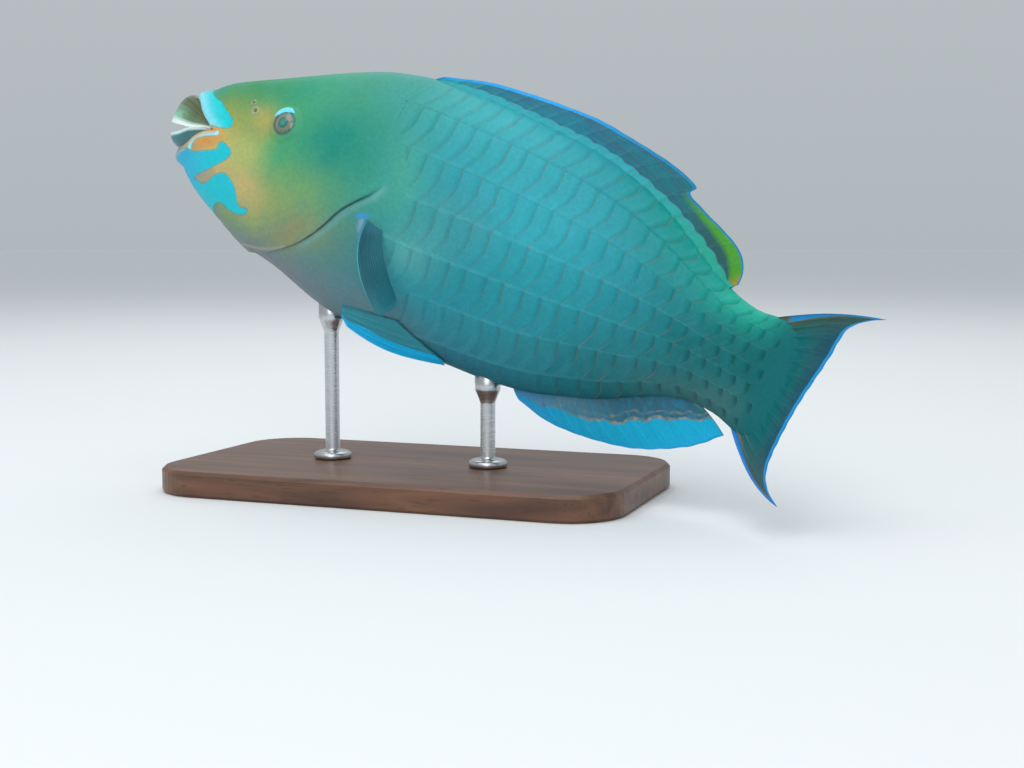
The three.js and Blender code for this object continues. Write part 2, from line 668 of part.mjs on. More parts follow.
// A rod with a foot flange and a cup that takes the belly's shape.
function standRod(s) {
  const top = place(s, 0, bellyAt(s));
  const bottom = BASE_THICKNESS + GAP;
  const reach = top.z + CUP_HEIGHT - bottom;
  const cup = top.z - CUP_HEIGHT * 0.6 - bottom;
  const profile = [
    [0, 0], [FLANGE_RADIUS, 0], [FLANGE_RADIUS, FLANGE_HEIGHT * 0.6], [FLANGE_RADIUS - 1.2, FLANGE_HEIGHT],
    [ROD_RADIUS, FLANGE_HEIGHT], [ROD_RADIUS, cup - 6], [CUP_RADIUS, cup], [CUP_RADIUS, reach], [0, reach],
  ].map(([radius, height]) => new THREE.Vector2(radius, height));
  const geometry = new THREE.LatheGeometry(profile, 16);
  geometry.rotateX(Math.PI / 2);
  geometry.translate(top.x, 0, bottom);
  return solidOf(geometry);
}

// Assembly

// Flesh grown by the gap, which clears whatever meets it.
const clearance = loft(fleshRings(
  [...HEAD_STATIONS, ...evenStations(0.405, 0.955, 22), ...evenStations(0.97, TAIL_END, 4), TAIL_END + 0.001],
  () => GAP * 1.15,
));

const group = new THREE.Group();

function addNode(name, solid, colour, roughness, metalness = 0) {
  const mesh = largest(solid).getMesh();
  const geometry = new THREE.BufferGeometry();
  geometry.setAttribute('position', new THREE.BufferAttribute(new Float32Array(mesh.vertProperties), 3));
  geometry.setIndex(new THREE.BufferAttribute(new Uint32Array(mesh.triVerts), 1));
  geometry.computeVertexNormals();
  const material = new THREE.MeshStandardMaterial({ color: colour, roughness, metalness });
  const node = new THREE.Mesh(geometry, material);
  node.name = name;
  group.add(node);
}

const SKIN_ROUGHNESS = 0.42;
const FIN_ROUGHNESS = 0.38;

addNode('head', makeHead(), SKIN_HEAD, SKIN_ROUGHNESS);
const torsoStations = evenStations(TORSO_START, TAIL_START - 0.5 * GAP / STANDARD_LENGTH, TORSO_STEPS);
const torso = loft(fleshRings(torsoStations, () => 0)).subtract(headSide(GAP / 2));
addNode('torso', torso, SKIN_BODY, SKIN_ROUGHNESS);
const tailStations = evenStations(TAIL_START + 0.5 * GAP / STANDARD_LENGTH, TAIL_END, TAIL_STEPS);
addNode('tail', loft(fleshRings(tailStations, () => 0)), SKIN_TAIL, SKIN_ROUGHNESS);

const upperBeak = beak(BEAK_UPPER, LIP_UPPER, EDGE_UPPER, BEAK_UPPER_BACK)
  .subtract(lip(LIP_UPPER, LIP_RADIUS_UPPER, GAP));
const lowerBeak = beak(BEAK_LOWER, LIP_LOWER, EDGE_LOWER, BEAK_LOWER_BACK)
  .subtract(lip(LIP_LOWER, LIP_RADIUS_LOWER, GAP));
addNode('beak_upper', upperBeak, BEAK_COLOUR, 0.3);
addNode('beak_lower', lowerBeak, BEAK_COLOUR, 0.3);

addNode('fin_dorsal', dorsalFin().subtract(clearance), FIN_BLUE, FIN_ROUGHNESS);
addNode('fin_anal', analFin().subtract(clearance), FIN_BLUE, FIN_ROUGHNESS);
addNode('fin_caudal', caudalFin().subtract(clearance), FIN_DARK, FIN_ROUGHNESS);
for (const [name, side] of [['left', -1], ['right', 1]]) {
  addNode(`eye_${name}`, eyeball(side, 0), EYE_COLOUR, 0.1);
  addNode(`fin_pectoral_${name}`, pectoralFin(side).subtract(clearance), FIN_DARK, FIN_ROUGHNESS);
  addNode(`fin_pelvic_${name}`, pelvicFin(side).subtract(clearance), FIN_BLUE, FIN_ROUGHNESS);
}

addNode('stand_base', standBase(), WOOD, 0.45);
addNode('stand_rod_front', standRod(FRONT_ROD_S).subtract(clearance), STEEL, 0.3, 1);
addNode('stand_rod_rear', standRod(REAR_ROD_S).subtract(clearance), STEEL, 0.3, 1);

export default group;
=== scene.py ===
"""Parrotfish on a display stand: the looks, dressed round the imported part.

Places on the fish are shares of its standard length: s back along the spine from the upper lip, z above
the line from lip to tail, y to the fish's right. An angle goes round the body from the back (0) to the belly
(pi), positive on the right side. Shapes are worked out in mm and become metres in the meshes.
"""

import bpy
import numpy as np
from mathutils import Euler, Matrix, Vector


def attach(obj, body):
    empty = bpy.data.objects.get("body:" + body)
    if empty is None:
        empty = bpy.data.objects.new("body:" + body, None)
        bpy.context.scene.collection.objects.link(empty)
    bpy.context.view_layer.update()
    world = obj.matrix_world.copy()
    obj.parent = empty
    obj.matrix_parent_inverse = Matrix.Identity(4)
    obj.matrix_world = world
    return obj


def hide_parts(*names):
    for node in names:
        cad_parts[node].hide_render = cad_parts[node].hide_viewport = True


MM = 0.001

# Driving dimensions, the same as the part's
STANDARD_LENGTH = 315.0
PITCH = np.radians(22.0)
FISH_CENTRE_X = 27.0
FISH_CENTRE_Z = 115.0
BASE_TOP = 12.0

HEADING = [[0.58, 0], [0.80, -8.6], [0.92, -22.7], [1.0, -42.1], [1.06, -54]]
BACK = [
    [-0.013, 0.0325], [-0.004, 0.0405], [0.012, 0.0535], [0.030, 0.0715], [0.050, 0.0855],
    [0.085, 0.1022], [0.125, 0.120], [0.233, 0.168],
    [0.302, 0.193], [0.365, 0.205], [0.498, 0.205], [0.631, 0.196], [0.701, 0.181],
    [0.758, 0.161], [0.821, 0.129], [0.880, 0.099], [0.940, 0.085], [1.0, 0.090], [1.034, 0.079],
    [1.052, 0.070],
]
BELLY = [
    [-0.013, -0.046], [0.0, -0.060], [0.045, -0.094], [0.104, -0.121], [0.160, -0.142],
    [0.220, -0.152], [0.303, -0.174], [0.360, -0.181], [0.444, -0.183], [0.528, -0.178],
    [0.600, -0.174], [0.660, -0.165], [0.715, -0.148], [0.773, -0.126], [0.828, -0.097],
    [0.880, -0.075], [0.940, -0.069], [1.0, -0.075], [1.034, -0.064], [1.052, -0.056],
]
HALF_WIDTH = [
    [-0.013, 0.009], [-0.008, 0.021], [0.0, 0.030], [0.03, 0.043], [0.08, 0.057],
    [0.15, 0.070], [0.22, 0.080], [0.30, 0.088], [0.38, 0.090], [0.50, 0.085], [0.60, 0.075],
    [0.70, 0.060], [0.80, 0.043], [0.88, 0.030], [0.94, 0.022], [1.0, 0.012], [1.034, 0.005],
    [1.052, 0.002],
]
WIDEST = [[-0.013, 0.48], [0.10, 0.47], [0.25, 0.50], [0.45, 0.56], [0.80, 0.54], [1.034, 0.5]]
RIDGE_TOP = [[-0.013, 0.85], [0.10, 0.95], [0.30, 1.12], [0.80, 1.10], [1.034, 0.9]]
RIDGE_BELLY = [[-0.013, 0.85], [0.15, 0.90], [0.45, 0.88], [0.80, 1.0], [1.034, 0.9]]

GILL_LINE = [
    [0.110, -0.170], [0.160, -0.146], [0.210, -0.128], [0.245, -0.107], [0.275, -0.085],
    [0.303, -0.053], [0.3265, -0.016], [0.346, 0.005], [0.366, 0.024], [0.376, 0.043],
    [0.366, 0.068], [0.320, 0.118], [0.275, 0.175], [0.250, 0.230],
]
GILL_LIFT = 1.1
GILL_LIFT_REACH = 0.075
GILL_TOP = 0.030  # how high the cover's edge is free, and the share of height over which that ends
GILL_TOP_FADE = 0.035
LIP_UPPER = [
    [0.002, 0.0448], [0.0095, 0.0462], [0.0205, 0.0447], [0.031, 0.0385], [0.041, 0.0315],
    [0.053, 0.0240], [0.065, 0.0175], [0.0755, 0.0132],
]
LIP_LOWER = [
    [-0.003, -0.0465], [0.009, -0.043], [0.021, -0.033], [0.030, -0.0225], [0.040, -0.0095],
    [0.053, 0.0015], [0.065, 0.0080], [0.0755, 0.0132],
]
LIP_RADIUS_UPPER = 2.2
LIP_RADIUS_LOWER = 1.7
LIP_WIDTH_UPPER = 9.0  # how far from the mouth's edge a lip's roll dies away
LIP_WIDTH_LOWER = 5.5
EYE_CENTRE = [0.187, 0.065]
EYE_RADIUS = 7.1
EYE_DEPTH = 3.7
EYE_SINK = 1.5
SOCKET_DEPTH = 4.6  # the skin's hollow under the eye, and the radii where it is full and ends
SOCKET_RADII = [5.6, 8.0]
NOSTRIL_DEPTH = 1.3
COVER_FOLDS = 5.2  # spacing of the faint folds along the gill cover
COVER_FOLD_HEIGHT = 0.10
NOSTRILS = [[0.115, 0.074, 0.75], [0.125, 0.0645, 1.1]]

BEAK_UPPER = [
    [0.006, 0.0425], [-0.007, 0.0425], [-0.018, 0.0400], [-0.027, 0.0335], [-0.033, 0.024],
    [-0.037, 0.012], [-0.039, 0.0], [-0.039, -0.010],
]
BEAK_LOWER = [
    [0.000, -0.043], [-0.014, -0.0415], [-0.025, -0.0375], [-0.0315, -0.032], [-0.0345, -0.027],
]
EDGE_UPPER = [[-0.039, -0.010], [-0.008, -0.005], [0.012, -0.002], [0.032, 0.0045], [0.060, 0.0125]]
EDGE_LOWER = [[-0.0345, -0.027], [-0.009, -0.015], [0.011, -0.005], [0.050, 0.0070]]
BEAK_UPPER_BACK = 0.060
BEAK_LOWER_BACK = 0.050
BEAK_HALF_WIDTH = 0.034

DORSAL_RAYS = 19
DORSAL_BASE = [0.350, 0.885]
DORSAL_TIPS = [
    [0, 0.373, 0.212], [0.1, 0.440, 0.228], [0.2, 0.500, 0.234], [0.3, 0.560, 0.2365],
    [0.4, 0.618, 0.2365], [0.5, 0.672, 0.2295], [0.6, 0.724, 0.221], [0.66, 0.755, 0.2135],
    [0.705, 0.787, 0.2005], [0.73, 0.781, 0.1895], [0.77, 0.802, 0.1785], [0.80, 0.819, 0.1710],
    [0.86, 0.848, 0.1600], [0.92, 0.879, 0.1450], [0.96, 0.894, 0.129], [0.985, 0.899, 0.116],
    [1, 0.899, 0.102],
]
ANAL_RAYS = 12
ANAL_BASE = [0.635, 0.880]
ANAL_TIPS = [
    [0, 0.656, -0.180], [0.1, 0.700, -0.1900], [0.25, 0.745, -0.190], [0.4, 0.795, -0.1822],
    [0.55, 0.845, -0.1685], [0.7, 0.893, -0.1465], [0.85, 0.939, -0.1185], [1, 0.9755, -0.0865],
]
ANAL_BULGE = 0.008
CAUDAL_RAYS = 15
CAUDAL_ROOT = 0.985
CAUDAL_ROOT_Z = [0.088, -0.072]
CAUDAL_TIPS = [
    [0, 1.207, 0.153], [0.08, 1.165, 0.139], [0.17, 1.128, 0.118], [0.3, 1.114, 0.078],
    [0.5, 1.096, 0.012], [0.7, 1.095, -0.045], [0.86, 1.103, -0.086], [0.94, 1.125, -0.103],
    [1, 1.161, -0.111],
]
CAUDAL_BULGE = -0.012
PECTORAL_RAYS = 14
PECTORAL_ROOT = [[0, 0.367, 0.078, -0.006], [1, 0.393, 0.078, -0.011]]
PECTORAL_BEND = [[0, 0.381, 0.150, -0.062], [0.4, 0.394, 0.140, -0.064], [1, 0.410, 0.112, -0.040]]
PECTORAL_TIPS = [
    [0, 0.4675, 0.178, -0.1074], [0.15, 0.482, 0.187, -0.1110], [0.4, 0.4854, 0.176, -0.1058],
    [0.7, 0.482, 0.148, -0.1010], [1, 0.4706, 0.118, -0.0966],
]
PELVIC_RAYS = 6
PELVIC_ROOT_S = 0.347
PELVIC_LENGTHS = [[0, 0.192], [0.2, 0.190], [0.6, 0.155], [1, 0.110]]
PELVIC_ANGLES = [0.29, 0.45, 0.68]
PELVIC_LIFT = [[0, -3.0], [0.14, 1.2], [1, 1.7]]
PELVIC_DROP = 3.5
ROOT_SINK = 0.012
MARGIN_SCALLOP = 0.008
# The sheath of scales over the dorsal fin's foot: [share along the fin, height in mm] from the root
DORSAL_SHEATH = [
    [0, 4.5], [0.08, 6.5], [0.15, 7.4], [0.3, 7.4], [0.5, 7.4], [0.65, 6.2], [0.9, 6.2], [1, 4.2],
]
SHEATH_LOBE = 9.0  # length of its lobes along the fin, in mm
SHEATH_LOBE_HEIGHT = 1.0

FRONT_ROD_S = 0.325
REAR_ROD_S = 0.600
ROD_RADIUS = 3.5
FLANGE_RADIUS = 9.0
FLANGE_HEIGHT = 3.5
CUP_RADIUS = 6.0
CUP_HEIGHT = 7.0
GAP = 0.3

# The skin's grid: points round half the body, and rows from the mouth to the tail
HALF_COLUMNS = 144
HEAD_ROWS = 116
BODY_ROWS = 138
SKIN_END = 1.052
SKIN_DEPTH = 0.35  # how far the skin lies below the solids where scales cover it, in mm
TAIL_DIVE = 0.35  # how much deeper its end goes, to sink into the tail fin
LINING_SHARES = [1.0, 0.85, 0.68, 0.5, 0.32, 0.16]  # rows of the mouth's lining, as shares of the way in
ROLL_TURNS = [205, 180, 155, 130, 108, 88, 68, 48, 30, 14]  # rows round a lip's roll, in degrees
# Across the gill cover's free edge: mm behind it, and the share of its lift
GILL_EDGE = [
    [-3.0, 0.84], [-2.2, 0.90], [-1.4, 0.94], [-0.8, 0.95], [-0.35, 0.90], [-0.08, 0.76], [0.08, 0.54],
    [0.14, 0.32], [0.12, 0.10], [0.10, -0.12], [0.25, -0.30], [0.7, -0.36], [1.4, -0.33],
    [2.6, -0.30], [4.0, -0.32],
]

# Scales: rows that run along the body, each scale overlapping the next behind it
SCALE_FILES = 7  # rows on one side, from back to belly
SCALE_COUNT = 29  # scales in a row
SCALE_FIRST_S = 0.228
SCALE_STEP = [[0, 0.0280], [14, 0.0292], [22, 0.0282], [28, 0.0250]]
BARE_MIDDLE = [0.385, -0.025]  # the bare skin at the pectoral fin's root: its middle and reach
BARE_REACH = [0.032, 0.034]
SCALE_ACROSS = 10  # cells across one plate
SCALE_ALONG = [0, 0.25, 0.62, 1]  # where its points lie along it, from the root to the rear edge
SCALE_LENGTH = 1.42  # length of one plate at its middle, in steps of its row
SCALE_HEIGHT = 0.575  # its half height, in heights of a row
SCALE_LEAN_UP = 0.07  # how far its ends lean forward at its upper side, in steps of its row
SCALE_LEAN_DOWN = 0.62  # and at its lower side
SCALE_THICKNESS = 0.16  # mm
SCALE_ROOT_SINK = 0.12  # how far its front lies under the skin, in mm
SCALE_LIFT = 0.14  # how far it then comes up, over a share of its length, in mm
SCALE_LIFT_SHARE = 0.25
SCALE_TUCK = 0.10  # how far its upper side sinks under the row above, in mm
SCALE_PROUD = 0.13  # how much a scale rises toward its rear edge, in mm

rng = np.random.default_rng(20)


# Curves

def smooth(rows):
    """Values at any place from [place, value, ...] rows: between two rows a cubic whose
    end slopes are those between each row's neighbours, and level outside the rows."""
    rows = np.asarray(rows, float)
    x, values = rows[:, 0], rows[:, 1:]
    order = np.arange(len(x))
    ahead, behind = np.minimum(order + 1, len(x) - 1), np.maximum(order - 1, 0)
    slope = (values[ahead] - values[behind]) / (x[ahead] - x[behind])[:, None]

    def at(where):
        where = np.clip(np.asarray(where, float), x[0], x[-1])
        i = np.clip(np.searchsorted(x, where) - 1, 0, len(x) - 2)
        width = (x[i + 1] - x[i])[..., None]
        t = (where - x[i])[..., None] / width
        rise = values[i] * (2 * t**3 - 3 * t**2 + 1) + values[i + 1] * (3 * t**2 - 2 * t**3)
        bend = width * (slope[i] * (t**3 - 2 * t**2 + t) + slope[i + 1] * (t**3 - t**2))
        result = rise + bend
        return result[..., 0] if result.shape[-1] == 1 else result

    return at


def ease(low, high, value):
    """0 below low, 1 above high and 3t^2 - 2t^3 between them."""
    t = np.clip((value - low) / (high - low), 0, 1)
    return t * t * (3 - 2 * t)


back_at = smooth(BACK)
belly_at = smooth(BELLY)
half_width_at = smooth(HALF_WIDTH)
widest_at = smooth(WIDEST)
ridge_top_at = smooth(RIDGE_TOP)
ridge_belly_at = smooth(RIDGE_BELLY)

HEADING_S, HEADING_DEG = np.array(HEADING, float).T
SPINE_STEP = 0.002
spine_s = np.arange(HEADING_S[0], 1.3, SPINE_STEP)
spine_heading = np.radians(np.interp(spine_s + SPINE_STEP / 2, HEADING_S, HEADING_DEG))[:-1]
spine_x = HEADING_S[0] + np.concatenate([[0], np.cumsum(SPINE_STEP * np.cos(spine_heading))])
spine_y = np.concatenate([[0], np.cumsum(SPINE_STEP * np.sin(spine_heading))])


def place(s, y, z):
    """The point in mm of a place on the fish: s along the
    bent spine, y square to it, then the whole is pitched."""
    s, y, z = np.broadcast_arrays(*(np.asarray(value, float) for value in (s, y, z)))
    heading = np.radians(np.interp(s, HEADING_S, HEADING_DEG))
    straight = s <= HEADING_S[0]
    x = np.where(straight, s, np.interp(s, spine_s, spine_x))
    side = np.where(straight, 0, np.interp(s, spine_s, spine_y))
    along = (x - y * np.sin(heading) - 0.5) * STANDARD_LENGTH
    across = (side + y * np.cos(heading)) * STANDARD_LENGTH
    up = z * STANDARD_LENGTH
    return np.stack([
        FISH_CENTRE_X + along * np.cos(PITCH) + up * np.sin(PITCH),
        across,
        FISH_CENTRE_Z - along * np.sin(PITCH) + up * np.cos(PITCH),
    ], axis=-1)


def levels(s, grow=0.0):
    """Heights of the back, the belly and the widest level at a station."""
    back = back_at(s) + grow / STANDARD_LENGTH
    belly = belly_at(s) - grow / STANDARD_LENGTH
    return back, belly, belly + (back - belly) * widest_at(s)


def section(s, angle, grow=0.0):
    """Half width and height of the flesh: height by the
    angle's cosine, width by its sine to a ridge power."""
    back, belly, middle = levels(s, grow)
    upper = np.cos(angle) >= 0
    sine = np.sin(angle)
    power = np.where(upper, ridge_top_at(s), ridge_belly_at(s))
    y = (half_width_at(s) + grow / STANDARD_LENGTH) * np.sign(sine) * np.abs(sine) ** power
    z = middle + np.where(upper, back - middle, middle - belly) * np.cos(angle)
    return y, z


def flesh(s, angle, grow=0.0):
    """Point in mm of the flesh's surface, grown outward by some mm."""
    y, z = section(s, angle, grow)
    return place(s, y, z)


def angle_at(s, z):
    """The angle whose height on the section at s is z."""
    back, belly, middle = levels(s)
    reach = np.where(z >= middle, back - middle, middle - belly)
    return np.arccos(np.clip((z - middle) / reach, -1, 1))


def unit(vectors):
    return vectors / np.maximum(np.linalg.norm(vectors, axis=-1, keepdims=True), 1e-12)


def flesh_outward(s, angle):
    """Outward direction of the flesh: its slope along the fish crossed with its slope round the body."""
    along = flesh(s + 0.002, angle) - flesh(s - 0.002, angle)
    across = flesh(s, angle + 0.01) - flesh(s, angle - 0.01)
    return unit(np.cross(along, across))


def girth_mm(s, angle):
    """How many mm of surface one radian of angle is worth."""
    return np.linalg.norm(flesh(s, angle + 0.02) - flesh(s, angle - 0.02), axis=-1) / 0.04


def path_distance(path, points):
    """Least distance in mm from each point to the points of a path."""
    best = np.full(points.shape[:-1], np.inf)
    for spot in path:
        best = np.minimum(best, ((points - spot) ** 2).sum(-1))
    return np.sqrt(best)


def rounded(outline, pieces=5):
    """A closed outline made smooth: the same cubic pieces through its points, run round past its start."""
    rows = np.array(outline, float)
    around = np.concatenate([rows[-3:], rows, rows[:3]])
    numbered = np.column_stack([np.arange(len(around)), around])
    return smooth(numbered)(3 + np.arange(len(rows) * pieces) / pieces)


def run_through(rows, count):
    """A smooth line through the rows, at evenly spaced row numbers."""
    numbered = [[k, *row] for k, row in enumerate(rows)]
    return smooth(numbered)(np.linspace(0, len(rows) - 1, count))


def side_distance(path, s, z):
    """Distance in mm, seen from the side, from [s, z] places to the points of a path."""
    return path_distance(path, np.stack([s, z], axis=-1)) * STANDARD_LENGTH


def inside_distance(outline, s, z):
    """Distance in mm to a closed outline's edges, positive inside: the
    sign comes from how many edges a level line from the place crosses."""
    ends = np.roll(outline, -1, axis=0)
    best = np.full(np.shape(s), np.inf)
    crossed = np.zeros(np.shape(s), bool)
    for (s0, z0), (s1, z1) in zip(outline, ends):
        run, rise = s1 - s0, z1 - z0
        share = np.clip(((s - s0) * run + (z - z0) * rise) / (run**2 + rise**2 + 1e-12), 0, 1)
        best = np.minimum(best, (s - s0 - share * run) ** 2 + (z - z0 - share * rise) ** 2)
        straddles = (z0 > z) != (z1 > z)
        crossed ^= straddles & (s < s0 + run * (z - z0) / np.where(rise == 0, 1e-9, rise))
    return np.where(crossed, 1, -1) * np.sqrt(best) * STANDARD_LENGTH


# Meshes

def sheet_faces(rows, columns, wrap_rows=False, wrap_columns=False):
    """Quads between neighbouring points of a grid stored row
    by row; a wrapped way also joins last to first."""
    row = np.arange(rows if wrap_rows else rows - 1)[:, None]
    column = np.arange(columns if wrap_columns else columns - 1)[None, :]
    below, right = (row + 1) % rows, (column + 1) % columns
    corners = [
        row * columns + column, row * columns + right, below * columns + right, below * columns + column,
    ]
    return np.stack(np.broadcast_arrays(*corners), axis=-1).reshape(-1, 4)


def fan_faces(ring, pole):
    """Triangles that join each side of a closed ring of point numbers to a pole."""
    return np.stack([ring, np.roll(ring, -1), np.full(len(ring), pole)], axis=-1)


def tube_faces(rows, columns):
    """A grid wrapped round, with a pole before its first row and
    one after its last: the poles' numbers follow the grid's."""
    ring = np.arange(columns)
    first, last = rows * columns, rows * columns + 1
    return [
        sheet_faces(rows, columns, wrap_columns=True),
        fan_faces(ring[::-1], first),
        fan_faces((rows - 1) * columns + ring, last),
    ]


def plate_rim(rows, columns):
    """Point numbers once round the border of a grid."""
    grid = np.arange(rows * columns).reshape(rows, columns)
    return np.concatenate([grid[:-1, 0], grid[-1, :-1], grid[:0:-1, -1], grid[0, :0:-1]])


def plate(centres, half):
    """Points and faces of a thin plate: each middle point of a grid moved
    both ways by its half thickness along the sheet's outward direction, the
    cross of its two slopes, and the two faces joined along their rim."""
    rows, columns = centres.shape[:2]
    outward = unit(np.cross(np.gradient(centres, axis=0), np.gradient(centres, axis=1)))
    offset = outward * half[..., None]
    points = np.concatenate([(centres + offset).reshape(-1, 3), (centres - offset).reshape(-1, 3)])
    front = sheet_faces(rows, columns)
    rim = plate_rim(rows, columns)
    after = np.roll(rim, -1)
    far = rows * columns
    skirt = np.stack([after, rim, rim + far, after + far], axis=-1)
    return points, [front, front[:, ::-1] + far, skirt]


def on_both_faces(values, shape):
    """Attributes of a plate's middle sheet, spread to its shape, for both of its faces."""
    return {key: np.tile(np.broadcast_to(value, shape).ravel(), 2) for key, value in values.items()}


def enclosed(points, faces):
    """Volume inside the faces: the sum over their triangles of the corners' triple product, over six."""
    total = 0.0
    for group in faces:
        for k in range(1, group.shape[1] - 1):
            a, b, c = points[group[:, 0]], points[group[:, k]], points[group[:, k + 1]]
            total += np.einsum("ij,ij->", a, np.cross(b, c)) / 6
    return total


def make_piece(name, points, faces, material, slot=None, attributes=None, stands_for=(), patch=None,
               rim=None):
    """A shown piece from points in mm and groups of faces. A closed skin with a
    negative volume is turned outward. Attributes hold one value a point. patch is a
    map of two values for each corner of each face. rim is true for the faces of a thin
    plate's border, which are shaded flat so that the plate isn't shaded round."""
    points = np.asarray(points, float).reshape(-1, 3)
    if enclosed(points, faces) < 0:
        faces = [group[:, ::-1] for group in faces]
        patch = patch and [group[:, ::-1] for group in patch]
    sizes = np.concatenate([np.full(len(group), group.shape[1]) for group in faces])
    corners = np.concatenate([group.ravel() for group in faces])
    mesh = bpy.data.meshes.new(name)
    mesh.vertices.add(len(points))
    mesh.vertices.foreach_set("co", (points * MM).astype(np.float32).ravel())
    mesh.loops.add(len(corners))
    mesh.loops.foreach_set("vertex_index", corners.astype(np.int32))
    mesh.polygons.add(len(sizes))
    mesh.polygons.foreach_set("loop_start", (np.cumsum(sizes) - sizes).astype(np.int32))
    mesh.update(calc_edges=True)
    for key, values in (attributes or {}).items():
        layer = mesh.attributes.new(key, "FLOAT", "POINT")
        layer.data.foreach_set("value", np.asarray(values, np.float32).ravel())
    if patch is not None:
        places = np.concatenate([group.reshape(-1, 2) for group in patch]).astype(np.float32)
        mesh.uv_layers.new(name="OFBake").data.foreach_set("uv", places.ravel())
    mesh.shade_smooth()
    if rim is not None:
        mesh.polygons.foreach_set("use_smooth", ~rim)
    mesh.materials.append(material)
    piece = bpy.data.objects.new(name, mesh)
    bpy.context.scene.collection.objects.link(piece)
    if slot:
        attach(piece, "root")
    if stands_for:
        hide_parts(*stands_for)
    return piece


# Materials

def linear(hex_colour):
    """An sRGB hex colour as linear light with full cover."""
    channels = np.array([int(hex_colour[k:k + 2], 16) for k in (1, 3, 5)]) / 255
    light = np.where(channels <= 0.04045, channels / 12.92, ((channels + 0.055) / 1.055) ** 2.4)
    return (*light.tolist(), 1.0)


def add(tree, kind, *values, out=0, named=None, **settings):
    """Adds a node with its settings, sets or links its inputs, the values in their order and
    the named ones by number or name, and returns the one of its outputs that out tells."""
    node = tree.nodes.new("ShaderNode" + kind)
    for key, value in settings.items():
        setattr(node, key, value)
    for key, value in {**dict(enumerate(values)), **(named or {})}.items():
        if isinstance(value, bpy.types.NodeSocket):
            tree.links.new(value, node.inputs[key])
        else:
            node.inputs[key].default_value = value
    return node.outputs[out] if node.outputs else None


def start_material(name, **surface):
    """A material with only a surface shader, its plain values set on the
    shader itself. Returns the material, its nodes and the shader's inputs."""
    material = bpy.data.materials.new(name)
    material.use_nodes = True
    tree = material.node_tree
    tree.nodes.clear()
    plain = {key.replace("_", " "): value for key, value in surface.items()}
    shaded = add(tree, "BsdfPrincipled", named=plain)
    add(tree, "OutputMaterial", shaded)
    return material, tree, shaded.node.inputs


def join(tree, shader, **values):
    """Links values to the shader's inputs of the same names."""
    for key, value in values.items():
        tree.links.new(value, shader[key.replace("_", " ")])


def point_value(tree, name):
    """The value that a mesh's points carry under a name."""
    return add(tree, "Attribute", out="Fac", attribute_name=name)


def point_values(tree, *names):
    return {name: point_value(tree, name) for name in names}


def times(tree, value, factor, plus=None):
    """value times factor, plus another value where one is given."""
    if plus is None:
        return add(tree, "Math", value, factor, operation="MULTIPLY")
    return add(tree, "Math", value, factor, plus, operation="MULTIPLY_ADD")


def noise(tree, where, size, detail, **more):
    """Soft noise over places in metres, with features of some mm."""
    settings = {"Vector": where, "Scale": 1000.0 / size, "Detail": detail, **more}
    return add(tree, "TexNoise", named=settings)


# Camera: the photograph's view of the fish's left side, a little from behind and above
camera_data = bpy.data.cameras.new("camera")
camera_data.lens = 50
camera_data.sensor_width = 36
camera = bpy.data.objects.new("camera", camera_data)
camera.location = np.array([FISH_CENTRE_X + 247.24, -611.94, FISH_CENTRE_Z]) * MM
camera.rotation_euler = Euler(np.radians([90 - 5.582, 0, 20.3165]))
camera_data.clip_start = 0.01
bpy.context.scene.collection.objects.link(camera)
bpy.context.scene.camera = camera
bpy.context.scene.view_settings.view_transform = "Standard"

